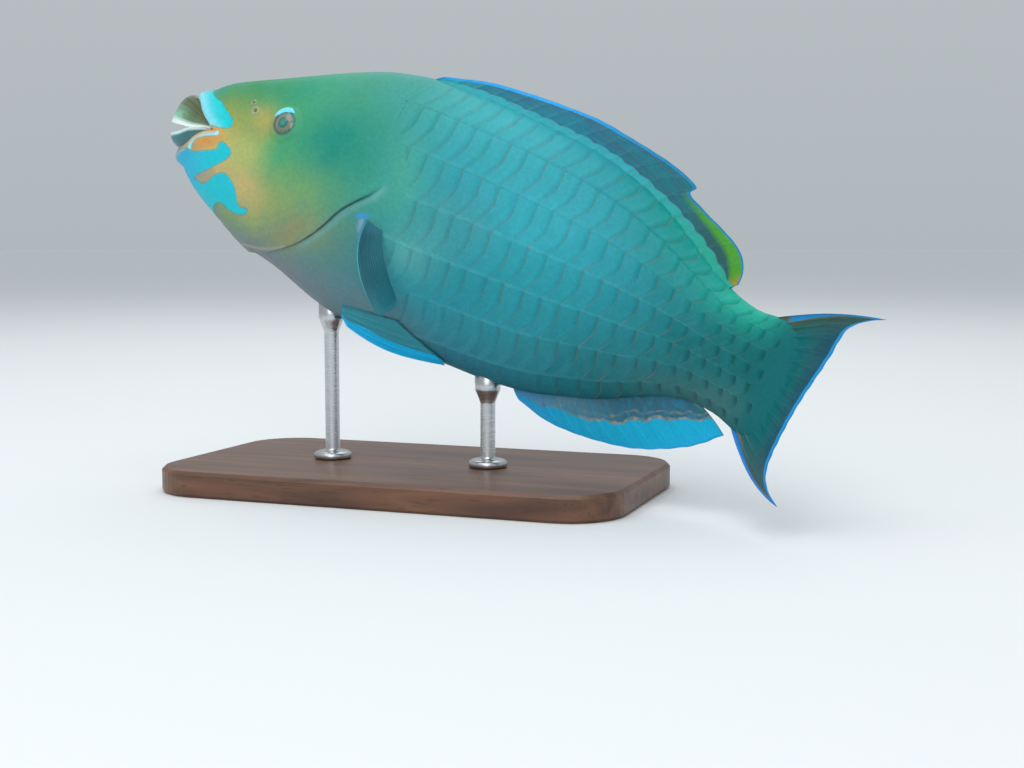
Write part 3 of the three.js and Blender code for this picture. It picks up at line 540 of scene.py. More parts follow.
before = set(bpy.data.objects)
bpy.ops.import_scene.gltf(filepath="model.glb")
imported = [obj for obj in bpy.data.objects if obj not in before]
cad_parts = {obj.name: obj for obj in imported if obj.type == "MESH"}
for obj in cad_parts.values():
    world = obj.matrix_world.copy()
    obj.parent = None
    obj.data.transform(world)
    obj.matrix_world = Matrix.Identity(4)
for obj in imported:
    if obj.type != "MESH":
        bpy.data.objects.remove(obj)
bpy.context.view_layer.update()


# Colour fields of the skin and scales, later ones over earlier ones. Each fades from its middle as
# exp(-(q ^ hardness)): q is the squared distance in units of its reach, turned by its slant in degrees.
FLANK_BLUE = "#1f8c98"
FIELDS = {
    # name: (colour, middle, reach, slant, hardness)
    "back_teal": ("#34a6ae", (0.47, 0.200), (0.17, 0.075), -2, 1.0),
    "mid_flank": ("#2ea2b0", (0.60, 0.075), (0.13, 0.075), 0, 1.0),
    "belly_slate": ("#2f7d90", (0.55, -0.175), (0.34, 0.080), 0, 1.2),
    "rear_low": ("#1a6f79", (0.80, -0.095), (0.13, 0.075), 18, 1.1),
    "tail_stock": ("#065f60", (0.98, 0.005), (0.17, 0.30), 0, 1.3),
    "rear_grey": ("#376a6c", (0.94, -0.060), (0.14, 0.035), 12, 1.2),
    "tail_top": ("#048c82", (0.82, 0.135), (0.12, 0.050), -27, 1.0),
    # A brighter green along the tail stock's top: its own green and a painted highlight from above
    "tail_ridge_highlight": ("#12a68e", (0.94, 0.090), (0.07, 0.030), 0, 1.0),
    "tail_end": ("#08666a", (1.045, -0.010), (0.055, 0.20), 0, 1.6),
    "flank_front": ("#3c969e", (0.495, 0.035), (0.060, 0.050), 0, 1.1),
    "breast": ("#70808a", (0.28, -0.145), (0.16, 0.060), -12, 1.2),
    "belly_grey": ("#5c838c", (0.415, -0.150), (0.075, 0.040), -12, 1.2),
    "throat": ("#78788a", (0.165, -0.115), (0.10, 0.053), -28, 1.3),
    "axil": ("#52a3a4", (0.450, -0.030), (0.045, 0.035), 0, 1.0),
    "gill_field": ("#5a8280", (0.323, -0.060), (0.055, 0.060), 0, 1.1),
    "shoulder": ("#48a294", (0.395, 0.055), (0.045, 0.070), 10, 1.1),
    "nape": ("#3a9280", (0.26, 0.150), (0.15, 0.080), 20, 1.1),
    "head_green": ("#4fa468", (0.200, 0.030), (0.150, 0.125), 10, 1.6),
    "temple": ("#1a8878", (0.285, 0.068), (0.080, 0.075), 0, 0.9),
    "crown": ("#2c9678", (0.180, 0.122), (0.050, 0.026), 32, 1.0),
    "cheek": ("#80a065", (0.195, -0.055), (0.105, 0.045), 28, 1.2),
    "cover_low": ("#878d68", (0.258, -0.076), (0.055, 0.032), 35, 1.1),
    "brow": ("#2c8a5c", (0.103, 0.085), (0.080, 0.045), 33, 1.2),
    "face": ("#86994f", (0.093, 0.030), (0.050, 0.045), 20, 1.3),
    "jaw": ("#cbb26b", (0.083, -0.020), (0.058, 0.045), 25, 1.3),
    "cheek_warm": ("#beac73", (0.150, -0.045), (0.050, 0.034), -32, 1.1),
    "cheek_light": ("#a6b36c", (0.138, 0.002), (0.034, 0.026), 0, 1.1),
    "lip_orange": ("#da9a52", (0.056, -0.010), (0.026, 0.011), 28, 1.4),
    "mouth_orange": ("#dd9a50", (0.075, 0.009), (0.014, 0.011), 25, 1.2),
    "jaw_mauve": ("#a09a84", (0.068, -0.052), (0.026, 0.022), 40, 1.2),
    "eye_front": ("#a3a058", (0.147, 0.053), (0.026, 0.028), 20, 1.1),
    "fin_base_pale": ("#78a4b8", (0.3652, -0.024), (0.0055, 0.014), 8, 1.4),
    "fin_base_blue": ("#3a93cf", (0.3630, -0.0105), (0.0120, 0.0036), 22, 1.6),
}


def field_weights(s, z):
    """How strongly each colour field covers a place, by the formula above."""
    weights = {}
    for name, (_, middle, reach, slant, hardness) in FIELDS.items():
        turn = np.radians(slant)
        ds, dz = s - middle[0], z - middle[1]
        across = (ds * np.cos(turn) + dz * np.sin(turn)) / reach[0]
        upward = (dz * np.cos(turn) - ds * np.sin(turn)) / reach[1]
        weights[name] = np.exp(-((across**2 + upward**2) ** hardness))
    return weights


# Bright markings of the head as closed outlines of [s, z] places on the side
UPPER_LIP_BAND = [
    [0.016, 0.095], [0.021, 0.070], [0.026, 0.0635], [0.037, 0.058], [0.050, 0.0555], [0.058, 0.055],
    [0.069, 0.050], [0.078, 0.0465], [0.088, 0.042], [0.096, 0.037], [0.097, 0.030], [0.0935, 0.0245],
    [0.087, 0.021], [0.0775, 0.019], [0.0665, 0.0175], [0.055, 0.0165], [0.03, 0.012], [0.0, 0.005],
    [-0.03, 0.0], [-0.04, 0.04], [-0.02, 0.095],
]
CHIN_PATCH = [
    [-0.020, -0.046], [0.0, -0.0465], [0.009, -0.0435], [0.016, -0.0375], [0.0275, -0.0315],
    [0.035, -0.0318], [0.043, -0.0308], [0.059, -0.023], [0.0785, -0.015], [0.085, -0.0095],
    [0.0865, -0.0025], [0.0905, 0.0018], [0.097, 0.002], [0.104, 0.0], [0.112, -0.004], [0.1145, -0.0095],
    [0.110, -0.0185], [0.101, -0.0275], [0.0895, -0.0375], [0.079, -0.046], [0.067, -0.055],
    [0.057, -0.0635], [0.0515, -0.0715], [0.048, -0.085], [0.048, -0.110], [0.0, -0.10], [-0.03, -0.06],
]
THROAT_PATCH = [
    [0.054, -0.071], [0.0605, -0.0705], [0.070, -0.072], [0.083, -0.0635], [0.0915, -0.0525],
    [0.1005, -0.045], [0.110, -0.040], [0.121, -0.0415], [0.131, -0.0475], [0.139, -0.054],
    [0.144, -0.063], [0.149, -0.072], [0.1535, -0.0768], [0.160, -0.077], [0.1675, -0.0747],
    [0.171, -0.078], [0.1655, -0.086], [0.1535, -0.0895], [0.141, -0.091], [0.132, -0.090],
    [0.1185, -0.087], [0.1115, -0.0875], [0.1025, -0.0935], [0.096, -0.103], [0.092, -0.125],
    [0.05, -0.12], [0.035, -0.095], [0.045, -0.078],
]
LIP_STRIPE = [
    [0.0335, -0.0275], [0.0345, -0.0205], [0.0385, -0.0115], [0.0455, -0.0045], [0.054, 0.0005],
    [0.064, 0.005], [0.074, 0.0088], [0.079, 0.0108],
]
LIP_STRIPE_HALF = 1.25  # mm
THROAT_FOLD = [
    [0.160, -0.134], [0.1765, -0.129], [0.192, -0.1263], [0.2065, -0.122], [0.2225, -0.1155],
    [0.238, -0.108], [0.251, -0.100],
]


def gill_shape():
    """Points of the gill cover's edge line, and s of the edge as a function of the angle round the body."""
    line = run_through(GILL_LINE, 261)
    angle = angle_at(line[:, 0], line[:, 1])
    on_body = (angle > 0.02) & (angle < np.pi - 0.02)
    order = np.argsort(angle[on_body])
    return line, angle[on_body][order], line[on_body, 0][order]


gill_points, gill_angles, gill_stations = gill_shape()


def gill_distance(s, z):
    """Distance in mm from the gill cover's edge, positive behind it."""
    distance = side_distance(gill_points, s, z)
    edge_s = np.interp(z, gill_points[:, 1], gill_points[:, 0])
    return np.where(s > edge_s, distance, -distance)


def gill_free(z):
    """1 where the gill cover's edge is free of the body, 0 where it has grown into the nape."""
    return 1 - ease(GILL_TOP - GILL_TOP_FADE / 2, GILL_TOP + GILL_TOP_FADE / 2, z)


def gill_lift(s, z):
    """Height in mm of the gill cover over the flank: full at
    its free edge, dying away forward and up the nape."""
    distance = path_distance(gill_points, np.stack([s, z], axis=-1))
    ahead = np.maximum(0, 1 - distance / GILL_LIFT_REACH) ** 1.5
    return GILL_LIFT * ahead * gill_free(z)


def surface_spot(s, z, side):
    """Point and outward direction of the side's surface at an [s, z] place."""
    angle = side * angle_at(s, z)
    return flesh(s, angle), flesh_outward(s, angle)


def mouth_edge(count):
    """[s, angle] along the mouth's edge from the midline above,
    by the corner, to the midline below, evenly spaced in mm."""
    beside = np.array(LIP_UPPER[1:] + LIP_LOWER[-2:0:-1])
    angles = angle_at(beside[:, 0], beside[:, 1])
    line = np.array([[0.0015, 0.0], *np.column_stack([beside[:, 0], angles]), [-0.0065, np.pi]])
    chords = np.linalg.norm(np.diff(flesh(line[:, 0], line[:, 1]), axis=0), axis=1)
    fine = smooth(np.column_stack([np.concatenate([[0], np.cumsum(chords)]), line]))
    run = np.linspace(0, chords.sum(), 1200)
    s, angle = fine(run).T
    steps = np.linalg.norm(np.diff(flesh(s, angle), axis=0), axis=1)
    length = np.concatenate([[0], np.cumsum(steps)])
    even = np.linspace(0, length[-1], count)
    return np.interp(even, length, s), np.interp(even, length, angle)


def head_swell(points, s, z, mouth):
    """Height in mm of the head's soft forms over the plain flesh: the lips' rolls, the folds behind
    them, the sockets under the eyes, the nostrils' pits and the faint folds along the gill cover."""
    corner = mouth["points"][mouth["corner"]] * [1, 0, 1]
    corner_distance = np.linalg.norm(points * [1, 0, 1] - corner, axis=-1)
    fullness = 0.60 + 0.40 * ease(0, 16, corner_distance)
    swell = np.zeros(np.shape(s))
    for path, radius, width in (
        (mouth["upper"], LIP_RADIUS_UPPER, LIP_WIDTH_UPPER),
        (mouth["lower"], LIP_RADIUS_LOWER, LIP_WIDTH_LOWER),
    ):
        out = path_distance(path, points) / width
        roll = np.maximum(0, 1 - out**2) ** 2
        fold = 0.22 * np.exp(-(((out - 1.12) / 0.22) ** 2))
        swell = np.maximum(swell, radius * fullness * roll) - fold * fullness
    for side in (-1, 1):
        eye, _ = surface_spot(*EYE_CENTRE, side)
        swell -= SOCKET_DEPTH * (1 - ease(*SOCKET_RADII, np.linalg.norm(points - eye, axis=-1)))
        for nostril_s, nostril_z, radius in NOSTRILS:
            spot, _ = surface_spot(nostril_s, nostril_z, side)
            off = np.linalg.norm(points - spot, axis=-1) / radius
            swell -= NOSTRIL_DEPTH * (1 - ease(0.6, 2.0, off))
    behind = gill_distance(s, z)
    folds = np.cos((behind + 2.0) * 2 * np.pi / COVER_FOLDS)
    folds = folds * ease(-30, -8, behind) * (1 - ease(-6, -2, behind))
    return swell + COVER_FOLD_HEIGHT * folds * ease(0.02, -0.06, z)


def caudal_wave(u):
    """How far the tail fin swings sideways over its height, at its margin."""
    return 0.006 * np.sin(5 * u)


def caudal_spot(s, z):
    """Where a place seen from the side falls on the tail fin: u down it and v back along it,
    by eight rounds that take v from s and u from z with the last round's other value."""
    top, foot = CAUDAL_ROOT_Z
    tip_at = smooth(CAUDAL_TIPS)
    u = np.clip((top - z) / (top - foot), 0, 1)
    for _ in range(8):
        tip_s, tip_z = np.moveaxis(tip_at(u), -1, 0)
        v = 2 * np.sqrt(0.5625 + np.clip((s - CAUDAL_ROOT) / (tip_s - CAUDAL_ROOT), 0, 1)) - 1.5
        rise = (tip_z - top - (foot - top) * u) * (1.25 * v - 0.25 * v**2)
        rise = rise + CAUDAL_BULGE * u**4 * 4 * v * (1 - v)
        u = np.clip((top + rise - z) / (top - foot), 0, 1)
    return u, v


def covered(s, angle, grow):
    """Point in mm of the flesh grown by some mm, its end
    moved sideways with the tail fin that comes out of it."""
    y, z = section(s, angle, grow)
    u, v = caudal_spot(s, z)
    return place(s, y + caudal_wave(u) * v * ease(0.99, 1.035, s), z)


def build_skin(material):
    """The whole skin as one closed grid. Columns run from the mouth's edge back to the tail. Rows come from
    the mouth's lining over the rolled lips, then step evenly from lips to gill edge and from gill edge to
    tail, in station and angle both, with the rows of the gill cover's rounded free edge between."""
    count = HALF_COLUMNS + 1
    edge_s, edge_angle = mouth_edge(count)
    t = np.linspace(0, 1, count)
    gill_angle = np.pi * t
    gill_s = np.interp(gill_angle, gill_angles, gill_stations)
    gill_s = np.convolve(np.pad(gill_s, 3, mode="reflect"), np.ones(7) / 7, mode="valid")

    girth = girth_mm(gill_s, np.clip(gill_angle, 0.05, np.pi - 0.05))
    run = np.gradient(gill_s) * STANDARD_LENGTH
    rise = np.gradient(gill_angle) * girth
    length = np.hypot(run, rise)
    square_s, square_angle = rise / length, -run / length
    square_angle = square_angle * np.minimum(1, np.minimum(10 * t, 10 * (1 - t)))

    def beside_gill(distance):
        return gill_s + distance * square_s / STANDARD_LENGTH, gill_angle + distance * square_angle / girth

    columns = np.concatenate([np.arange(count), np.arange(count - 2, 0, -1)])
    side = np.where(np.arange(2 * HALF_COLUMNS) <= HALF_COLUMNS, 1, -1)

    rows_s, rows_angle, grows = [], [], []
    head_end_s, head_end_angle = beside_gill(GILL_EDGE[0][0])
    for share in np.linspace(0, 1, HEAD_ROWS) ** 1.15:
        rows_s.append(edge_s + (head_end_s - edge_s) * share)
        rows_angle.append(edge_angle + (head_end_angle - edge_angle) * share)
        _, z = section(rows_s[-1], rows_angle[-1])
        grows.append(gill_lift(rows_s[-1], z))
    _, gill_z = section(gill_s, gill_angle)
    free = gill_free(gill_z)
    lift = gill_lift(gill_s, gill_z) + 0.10 * free
    even = np.linspace(GILL_EDGE[0][0], GILL_EDGE[-1][0], len(GILL_EDGE))
    for level, (distance, height) in zip(even[1:], GILL_EDGE[1:]):
        s, angle = beside_gill(level + (distance - level) * free)
        rows_s.append(s)
        rows_angle.append(angle)
        grows.append(lift * height)
    body_s, body_angle = beside_gill(GILL_EDGE[-1][0])
    for share in np.linspace(0, 1, BODY_ROWS)[1:]:
        rows_s.append(body_s + (SKIN_END - body_s) * share)
        rows_angle.append(body_angle + (gill_angle - body_angle) * min(1, 4 * share))
        settle = ease(0, 0.05, share)
        sunk = SKIN_DEPTH * settle + TAIL_DIVE * ease(1.015, SKIN_END, rows_s[-1])
        grows.append(grows[HEAD_ROWS + len(GILL_EDGE) - 2] * (1 - settle) - sunk)

    s = np.array(rows_s)[:, columns]
    angle = np.array(rows_angle)[:, columns] * side
    grow = np.array(grows)[:, columns]
    _, z = section(s, angle)
    points = covered(s, angle, grow)

    lip_points = flesh(edge_s[columns], edge_angle[columns] * side)
    corner = int(np.argmax(edge_s))
    upper = columns <= corner
    lower = columns >= corner
    mouth = {
        "points": lip_points, "corner": corner, "upper": lip_points[upper], "lower": lip_points[lower],
    }
    head = slice(0, HEAD_ROWS)
    swell = head_swell(points[head], s[head], z[head], mouth)
    points[head] += swell[..., None] * flesh_outward(s[head], angle[head])

    outward = flesh_outward(edge_s[columns], edge_angle[columns] * side)
    along = unit(np.roll(lip_points, -1, axis=0) - np.roll(lip_points, 1, axis=0))
    forward = unit(np.cross(outward, along))
    forward *= np.where((forward @ [-1.0, 0, 0.2]).sum() > 0, 1, -1)
    radius = swell[0][:, None]
    roll_turns = np.radians(ROLL_TURNS)
    roll = np.stack([
        lip_points + radius * (np.cos(turn) * outward + np.sin(turn) * forward) for turn in roll_turns])
    depth = np.array(LINING_SHARES)
    round_angle = edge_angle[columns] * side
    throat = place(0.088, 0.022 * np.sin(round_angle), 0.003 + 0.014 * np.cos(round_angle))
    lining = roll[0] + (throat - roll[0]) * depth[:, None, None]
    poles = np.stack([throat.mean(axis=0), points[-1].mean(axis=0)])

    front = len(lining) + len(roll)
    edge_columns = np.broadcast_to(s[0], (front, s.shape[1])), np.broadcast_to(z[0], (front, s.shape[1]))
    s, z = (np.concatenate([first, rest]) for first, rest in zip(edge_columns, (s, z)))
    band = inside_distance(rounded(UPPER_LIP_BAND), s, z)
    turned = np.concatenate([np.full(len(depth), 4.0), roll_turns])[:, None]
    band[:front] = np.where(upper, np.minimum(band[:front], (1.15 - turned) * 2.0), -5)
    chin = inside_distance(rounded(CHIN_PATCH), s, z)
    chin[:front] = np.minimum(chin[:front], (0.9 - turned) * 1.7)
    stripe = LIP_STRIPE_HALF - side_distance(run_through(LIP_STRIPE, 90), s, z)
    stripe[:front] = -3
    inner = np.zeros_like(s)
    inner[:front] = ease(0.5, 1.3, turned)
    on_flesh = flesh(s[front:], angle)
    inner[front:] = 0.55 * (1 - ease(0.3, 1.6, path_distance(mouth["lower"], on_flesh)))
    # Closeness to the upper lip's edge, where the lip band and lip stripe are painted paler: a painted
    # highlight on the lip's roll
    lip_highlight = np.ones_like(s)
    lip_highlight[front:] = np.exp(-((path_distance(mouth["upper"], on_flesh) / 3.2) ** 2))
    gape = np.zeros_like(s)
    gape[:len(depth)] = ease(0.05, 0.5, depth)[:, None]
    behind = gill_distance(s, z)
    on_throat = 1 - ease(-0.105, -0.085, z)
    # Width in mm, behind the gill cover's edge, of the painted shade in its slit
    slit_shade_width = 0.7 + 0.4 * ease(-0.07, -0.035, z) * (1 - ease(-0.005, 0.02, z))
    markings = {
        "lip_band": band,
        "chin_patch": np.maximum(chin, inside_distance(rounded(THROAT_PATCH), s, z)),
        "lip_stripe": stripe,
        "lip_highlight": lip_highlight,
        "patch_front": ease(0.09, 0.015, s) * ease(0.0, -0.03, z),
        "inner_lip": inner,
        "gape": gape,
        # A painted shade in the gill cover's slit: a dark line just behind its edge
        "gill_slit_shade": ease(-0.45, -0.05, behind) * (1 - ease(0.2, slit_shade_width, behind)) * (1 - 0.6 * on_throat)
        * (1 - ease(0.010, 0.030, z)),
        "gill_pale": ease(0.4, 0.9, behind) * (1 - ease(1.2, 5.0, behind)) * (1 - 0.7 * on_throat)
        * (1 - ease(0.025, 0.055, z)),
        "throat_fold": side_distance(run_through(THROAT_FOLD, 90), s, z),
        **field_weights(s, z),
    }
    points = np.concatenate([lining, roll, points])
    rows, around = points.shape[:2]
    with_poles = {
        key: np.append(values.ravel(), [values[0].mean(), values[-1].mean()])
        for key, values in markings.items()
    }
    return make_piece(
        "skin", np.concatenate([points.reshape(-1, 3), poles]), tube_faces(rows, around), material, "skin",
        with_poles, ("head", "torso", "tail"),
    )


def girth_table():
    """Angles at even shares of the way from back to belly, for even stations."""
    stations = np.linspace(0.15, SKIN_END, 90)
    fine = np.linspace(0, np.pi, 400)
    points = flesh(stations[:, None], fine[None, :])
    steps = np.linalg.norm(np.diff(points, axis=1), axis=-1)
    length = np.concatenate([np.zeros((len(stations), 1)), np.cumsum(steps, axis=1)], axis=1)
    shares = np.linspace(0, 1, 161)
    angles = np.array([np.interp(shares, row / row[-1], fine) for row in length])
    return stations, shares, angles


table_stations, table_shares, table_angles = girth_table()


def angle_of_share(s, share):
    """Angle at a share of the way round, 0 back, 1 belly and 2 back again
    by the left side, read between the table's four nearest entries."""
    turned = np.mod(share, 2)
    side = np.where(turned > 1, -1, 1)
    down = np.where(turned > 1, 2 - turned, turned)
    spacing = table_stations[1] - table_stations[0]
    row = np.clip((s - table_stations[0]) / spacing, 0, len(table_stations) - 1.001)
    column = np.clip(down / table_shares[1], 0, len(table_shares) - 1.001)
    i, j = row.astype(int), column.astype(int)
    down_i, down_j = row - i, column - j
    near = table_angles[i, j] * (1 - down_j) + table_angles[i, j + 1] * down_j
    far = table_angles[i + 1, j] * (1 - down_j) + table_angles[i + 1, j + 1] * down_j
    return side * (near * (1 - down_i) + far * down_i)


def scales_show(s, z):
    """How clearly the scales stand out: not on shoulder and
    breast, and on the belly only toward the tail."""
    return ease(0.33, 0.52, s) * ease(-0.15, -0.05, z + 0.30 * (s - 0.62))


def build_scales(material):
    """Large scales as thin closed plates, from the gill cover and nape to the tail, in rows along the body.
    Every second row is set off by half a scale. A plate is a grid in p across, from its upper to its lower
    side, and q along. Its ends lean forward a little above its middle, by |p|^1.8 of the lean, and far
    below it, by p^1.35, so that the edges meet in lines that go down the side. It comes up out of the skin
    in front and rises evenly to its rear edge, by (1 - (1.15 p)^2)^2 of the full rise, so that neighbouring
    rows lie flush; past there its upper side sinks under the row above, by p^12 of its tuck."""
    number = np.arange(SCALE_COUNT + 1)
    step = smooth(SCALE_STEP)(number)
    rear_s = SCALE_FIRST_S + np.concatenate([[0], np.cumsum(step)[:-1]])
    file, along = np.meshgrid(np.arange(2 * SCALE_FILES), number[:-1], indexing="ij")
    down = np.minimum(file, 2 * SCALE_FILES - 1 - file)
    place_along = along + 0.5 * (down % 2)
    root_s = np.interp(place_along, number, rear_s)
    reach = np.interp(place_along, number, step)
    share = (file + 0.5) / SCALE_FILES
    root_angle = angle_of_share(root_s, share)
    _, root_z = section(root_s, root_angle)
    behind = gill_distance(root_s, root_z)
    (bare_s, bare_z), (reach_s, reach_z) = BARE_MIDDLE, BARE_REACH
    near_fin = ((root_s - bare_s) / reach_s) ** 2 + ((root_z - bare_z) / reach_z) ** 2 < 1
    clear = np.where(root_z > GILL_TOP + 0.015, behind > 2, behind > 5.5) & (root_s < 1.022) & ~near_fin
    clear &= root_s > 0.415 - 0.3 * ease(0.02, 0.08, root_z)
    root_s, reach, share, root_z, down = (value[clear] for value in (root_s, reach, share, root_z, down))
    kept = len(root_s)
    to_belly = np.where(share > 1, -1, 1)[:, None, None]

    p = np.linspace(-1, 1, SCALE_ACROSS + 1)[None, None, :]
    q = np.array(SCALE_ALONG)[None, :, None]
    lean = np.where(p < 0, SCALE_LEAN_UP * np.abs(p) ** 1.8, SCALE_LEAN_DOWN * np.abs(p) ** 1.35)
    wobble = 1 + 0.04 * rng.standard_normal((kept, 1, 1))
    length = reach[:, None, None]
    rear = length * (0.04 * rng.standard_normal((kept, 1, 1)) - lean * wobble)
    front = -length * (SCALE_LENGTH + lean)
    s = root_s[:, None, None] + front + (rear - front) * q
    half_share = SCALE_HEIGHT / SCALE_FILES
    angle = angle_of_share(s, share[:, None, None] + to_belly * half_share * p)
    relief = scales_show(root_s, root_z) * (1 - 0.9 * ease(0.78, 0.93, root_s))
    rise = SCALE_PROUD * relief[:, None, None] * q * np.maximum(0, 1 - (1.15 * p) ** 2) ** 2
    top = -SKIN_DEPTH - SCALE_ROOT_SINK + SCALE_LIFT * ease(0, SCALE_LIFT_SHARE, q) + rise
    top = top - np.where(p < 0, SCALE_TUCK * p**12, 0)
    bottom = top - SCALE_THICKNESS * (0.4 + 0.6 * q)
    outer, under = covered(s, angle, top), covered(s, angle, bottom)
    points = np.stack([outer, under], axis=1).reshape(-1, 3)

    cells = len(SCALE_ALONG) * (SCALE_ACROSS + 1)
    face = sheet_faces(len(SCALE_ALONG), SCALE_ACROSS + 1)
    rim = plate_rim(len(SCALE_ALONG), SCALE_ACROSS + 1)
    after = np.roll(rim, -1)
    skirt = np.stack([after, rim, rim + cells, after + cells], axis=-1)
    one = np.concatenate([face, face[:, ::-1] + cells, skirt])
    faces = one[None] + 2 * cells * np.arange(kept)[:, None, None]
    faces = np.where(to_belly > 0, faces, faces[:, :, ::-1]).reshape(-1, 4)

    flat_q, flat_p = np.broadcast_arrays(q[0], p[0])
    flat = np.stack([flat_q, 0.5 + 0.5 * flat_p], axis=-1).reshape(-1, 2)
    sheet = np.concatenate([flat * [0.56, 0.86], flat * [0.24, 0.86] + [0.66, 0]])
    patch = sheet[one]
    patch[-len(skirt):, 2:] = sheet[skirt[:, :2][:, ::-1]] + [0.02, 0]
    root_place = np.stack([root_s / 1.2, (share + 0.02) / 2.06], axis=-1)
    cell_size = np.array([SCALE_STEP[-1][1] / 1.2 * 0.45, 0.92 / SCALE_FILES / 2.06])
    patches = root_place[:, None, None] + patch[None] * cell_size
    patches = np.where(to_belly[..., None] > 0, patches, patches[:, :, ::-1]).reshape(-1, 4, 2)

    _, z = section(s, angle)
    slope = np.gradient(lean[0, 0], p[0, 0]) * 2.0 * length / (2 * half_share * 0.37)
    values = {
        "rear_mm": (root_s[:, None, None] + rear - s) * STANDARD_LENGTH / np.sqrt(1 + (0.5 * slope) ** 2),
        "fan": np.broadcast_to(p, s.shape),
        "tone": np.broadcast_to(rng.uniform(0, 1, (kept, 1, 1)), s.shape),
        "edge_show": scales_show(s, z) * (1 - 0.7 * ease(0.80, 1.0, s)),
        **field_weights(s, z),
    }
    doubled = {key: np.stack([value, value], axis=1) for key, value in values.items()}
    on_rim = np.tile(np.arange(len(one)) >= 2 * len(face), kept)
    return make_piece("scales", points, [faces], material, "skin", doubled, patch=[patches], rim=on_rim)


def soft_colour(tree):
    """Skin colour from the soft fields, their covers varied by blotches about 11
    mm across. Returns the blotches, a fine grain of 1.6 mm and the colour."""
    coordinates = add(tree, "TexCoord", out="Object")
    mottle = noise(tree, coordinates, 11, 4, Roughness=0.6)
    grain = noise(tree, coordinates, 1.6, 3, Roughness=0.65)
    drift = add(tree, "MapRange", mottle, 0.25, 0.75, 0.72, 1.28)
    colour = linear(FLANK_BLUE)
    for field, (shade, *_) in FIELDS.items():
        weight = point_value(tree, field)
        cover = add(tree, "Math", weight, drift, operation="MULTIPLY", use_clamp=True)
        colour = add(tree, "Mix", cover, out=2, named={6: colour, 7: linear(shade)}, data_type="RGBA")
    return mottle, grain, colour


def painted(tree, colour, layers):
    """Lays shades over a colour. Each layer is [place, bare, full, cover, shade]: where the place's
    value is at bare it doesn't show, and from there it strengthens to its cover at full."""
    for where, bare, full, cover, shade in layers:
        amount = add(tree, "MapRange", where, bare, full, 0.0, cover)
        colour = add(tree, "Mix", amount, out=2, named={6: colour, 7: linear(shade)}, data_type="RGBA")
    return colour


# A low satin gloss, the same on skin and fins so that none stands out
WET_SKIN = {"IOR": 1.36, "Specular_IOR_Level": 0.3, "Coat_Weight": 0.05, "Coat_Roughness": 0.3}


def finish_skin(tree, shader, colour, mottle, grain, relief=None):
    """Joins a colour to the shader, finely speckled, with a gloss that drifts with the
    blotches and a relief up to 0.25 mm high, the grain's own where none is given."""
    speckle = add(tree, "MapRange", grain, 0.25, 0.75, 0.90, 1.10)
    lively = add(tree, "VectorMath", colour, named={3: speckle}, operation="SCALE")
    gloss = add(tree, "MapRange", mottle, 0.2, 0.8, 0.44, 0.56)
    bump = add(tree, "Bump", named={"Strength": 0.22, "Distance": 0.00025, "Height": relief or grain})
    join(tree, shader, Base_Color=lively, Roughness=gloss, Normal=bump)


def scale_material():
    """Parrotfish scales, smooth and damp: the skin's low satin gloss and soft colours, with a painted
    highlight in the middle of each scale, a dull salmon rear edge on each scale and fine growth lines."""
    material, tree, shader = start_material("scale_enamel", **WET_SKIN)
    mottle, grain, colour = soft_colour(tree)
    at = point_values(tree, "tone", "rear_mm", "edge_show", "fan")
    # Each scale painted lighter in the middle of what shows of it, by its own random share: a painted
    # highlight
    middle_highlight = add(tree, "MapRange", at["rear_mm"], 0.6, 3.0, 0.0, 0.06)
    toned_highlight = times(tree, at["tone"], middle_highlight)
    # The rear edge line, about 0.6 mm wide, coming and going with the blotches
    ragged = times(tree, grain, 0.8, plus=at["rear_mm"])
    line = add(tree, "MapRange", ragged, 0.60, 1.05, 0.55, 0.0)
    strength = add(tree, "MapRange", mottle, 0.38, 0.60, 0.15, 1.0)
    uneven = times(tree, line, strength)
    shown = times(tree, uneven, at["edge_show"])
    colour = painted(tree, colour, [(toned_highlight, 0.0, 1.0, 1.0, "#4fb2bd"), (shown, 0.0, 1.0, 1.0, "#857668")])
    # Growth lines fan out from the root: ridges about 0.3 mm apart
    rays = times(tree, at["fan"], 70.0)
    ridges = add(tree, "Math", rays, operation="SINE")
    relief = times(tree, ridges, 0.08, plus=grain)
    finish_skin(tree, shader, colour, mottle, grain, relief)
    return material


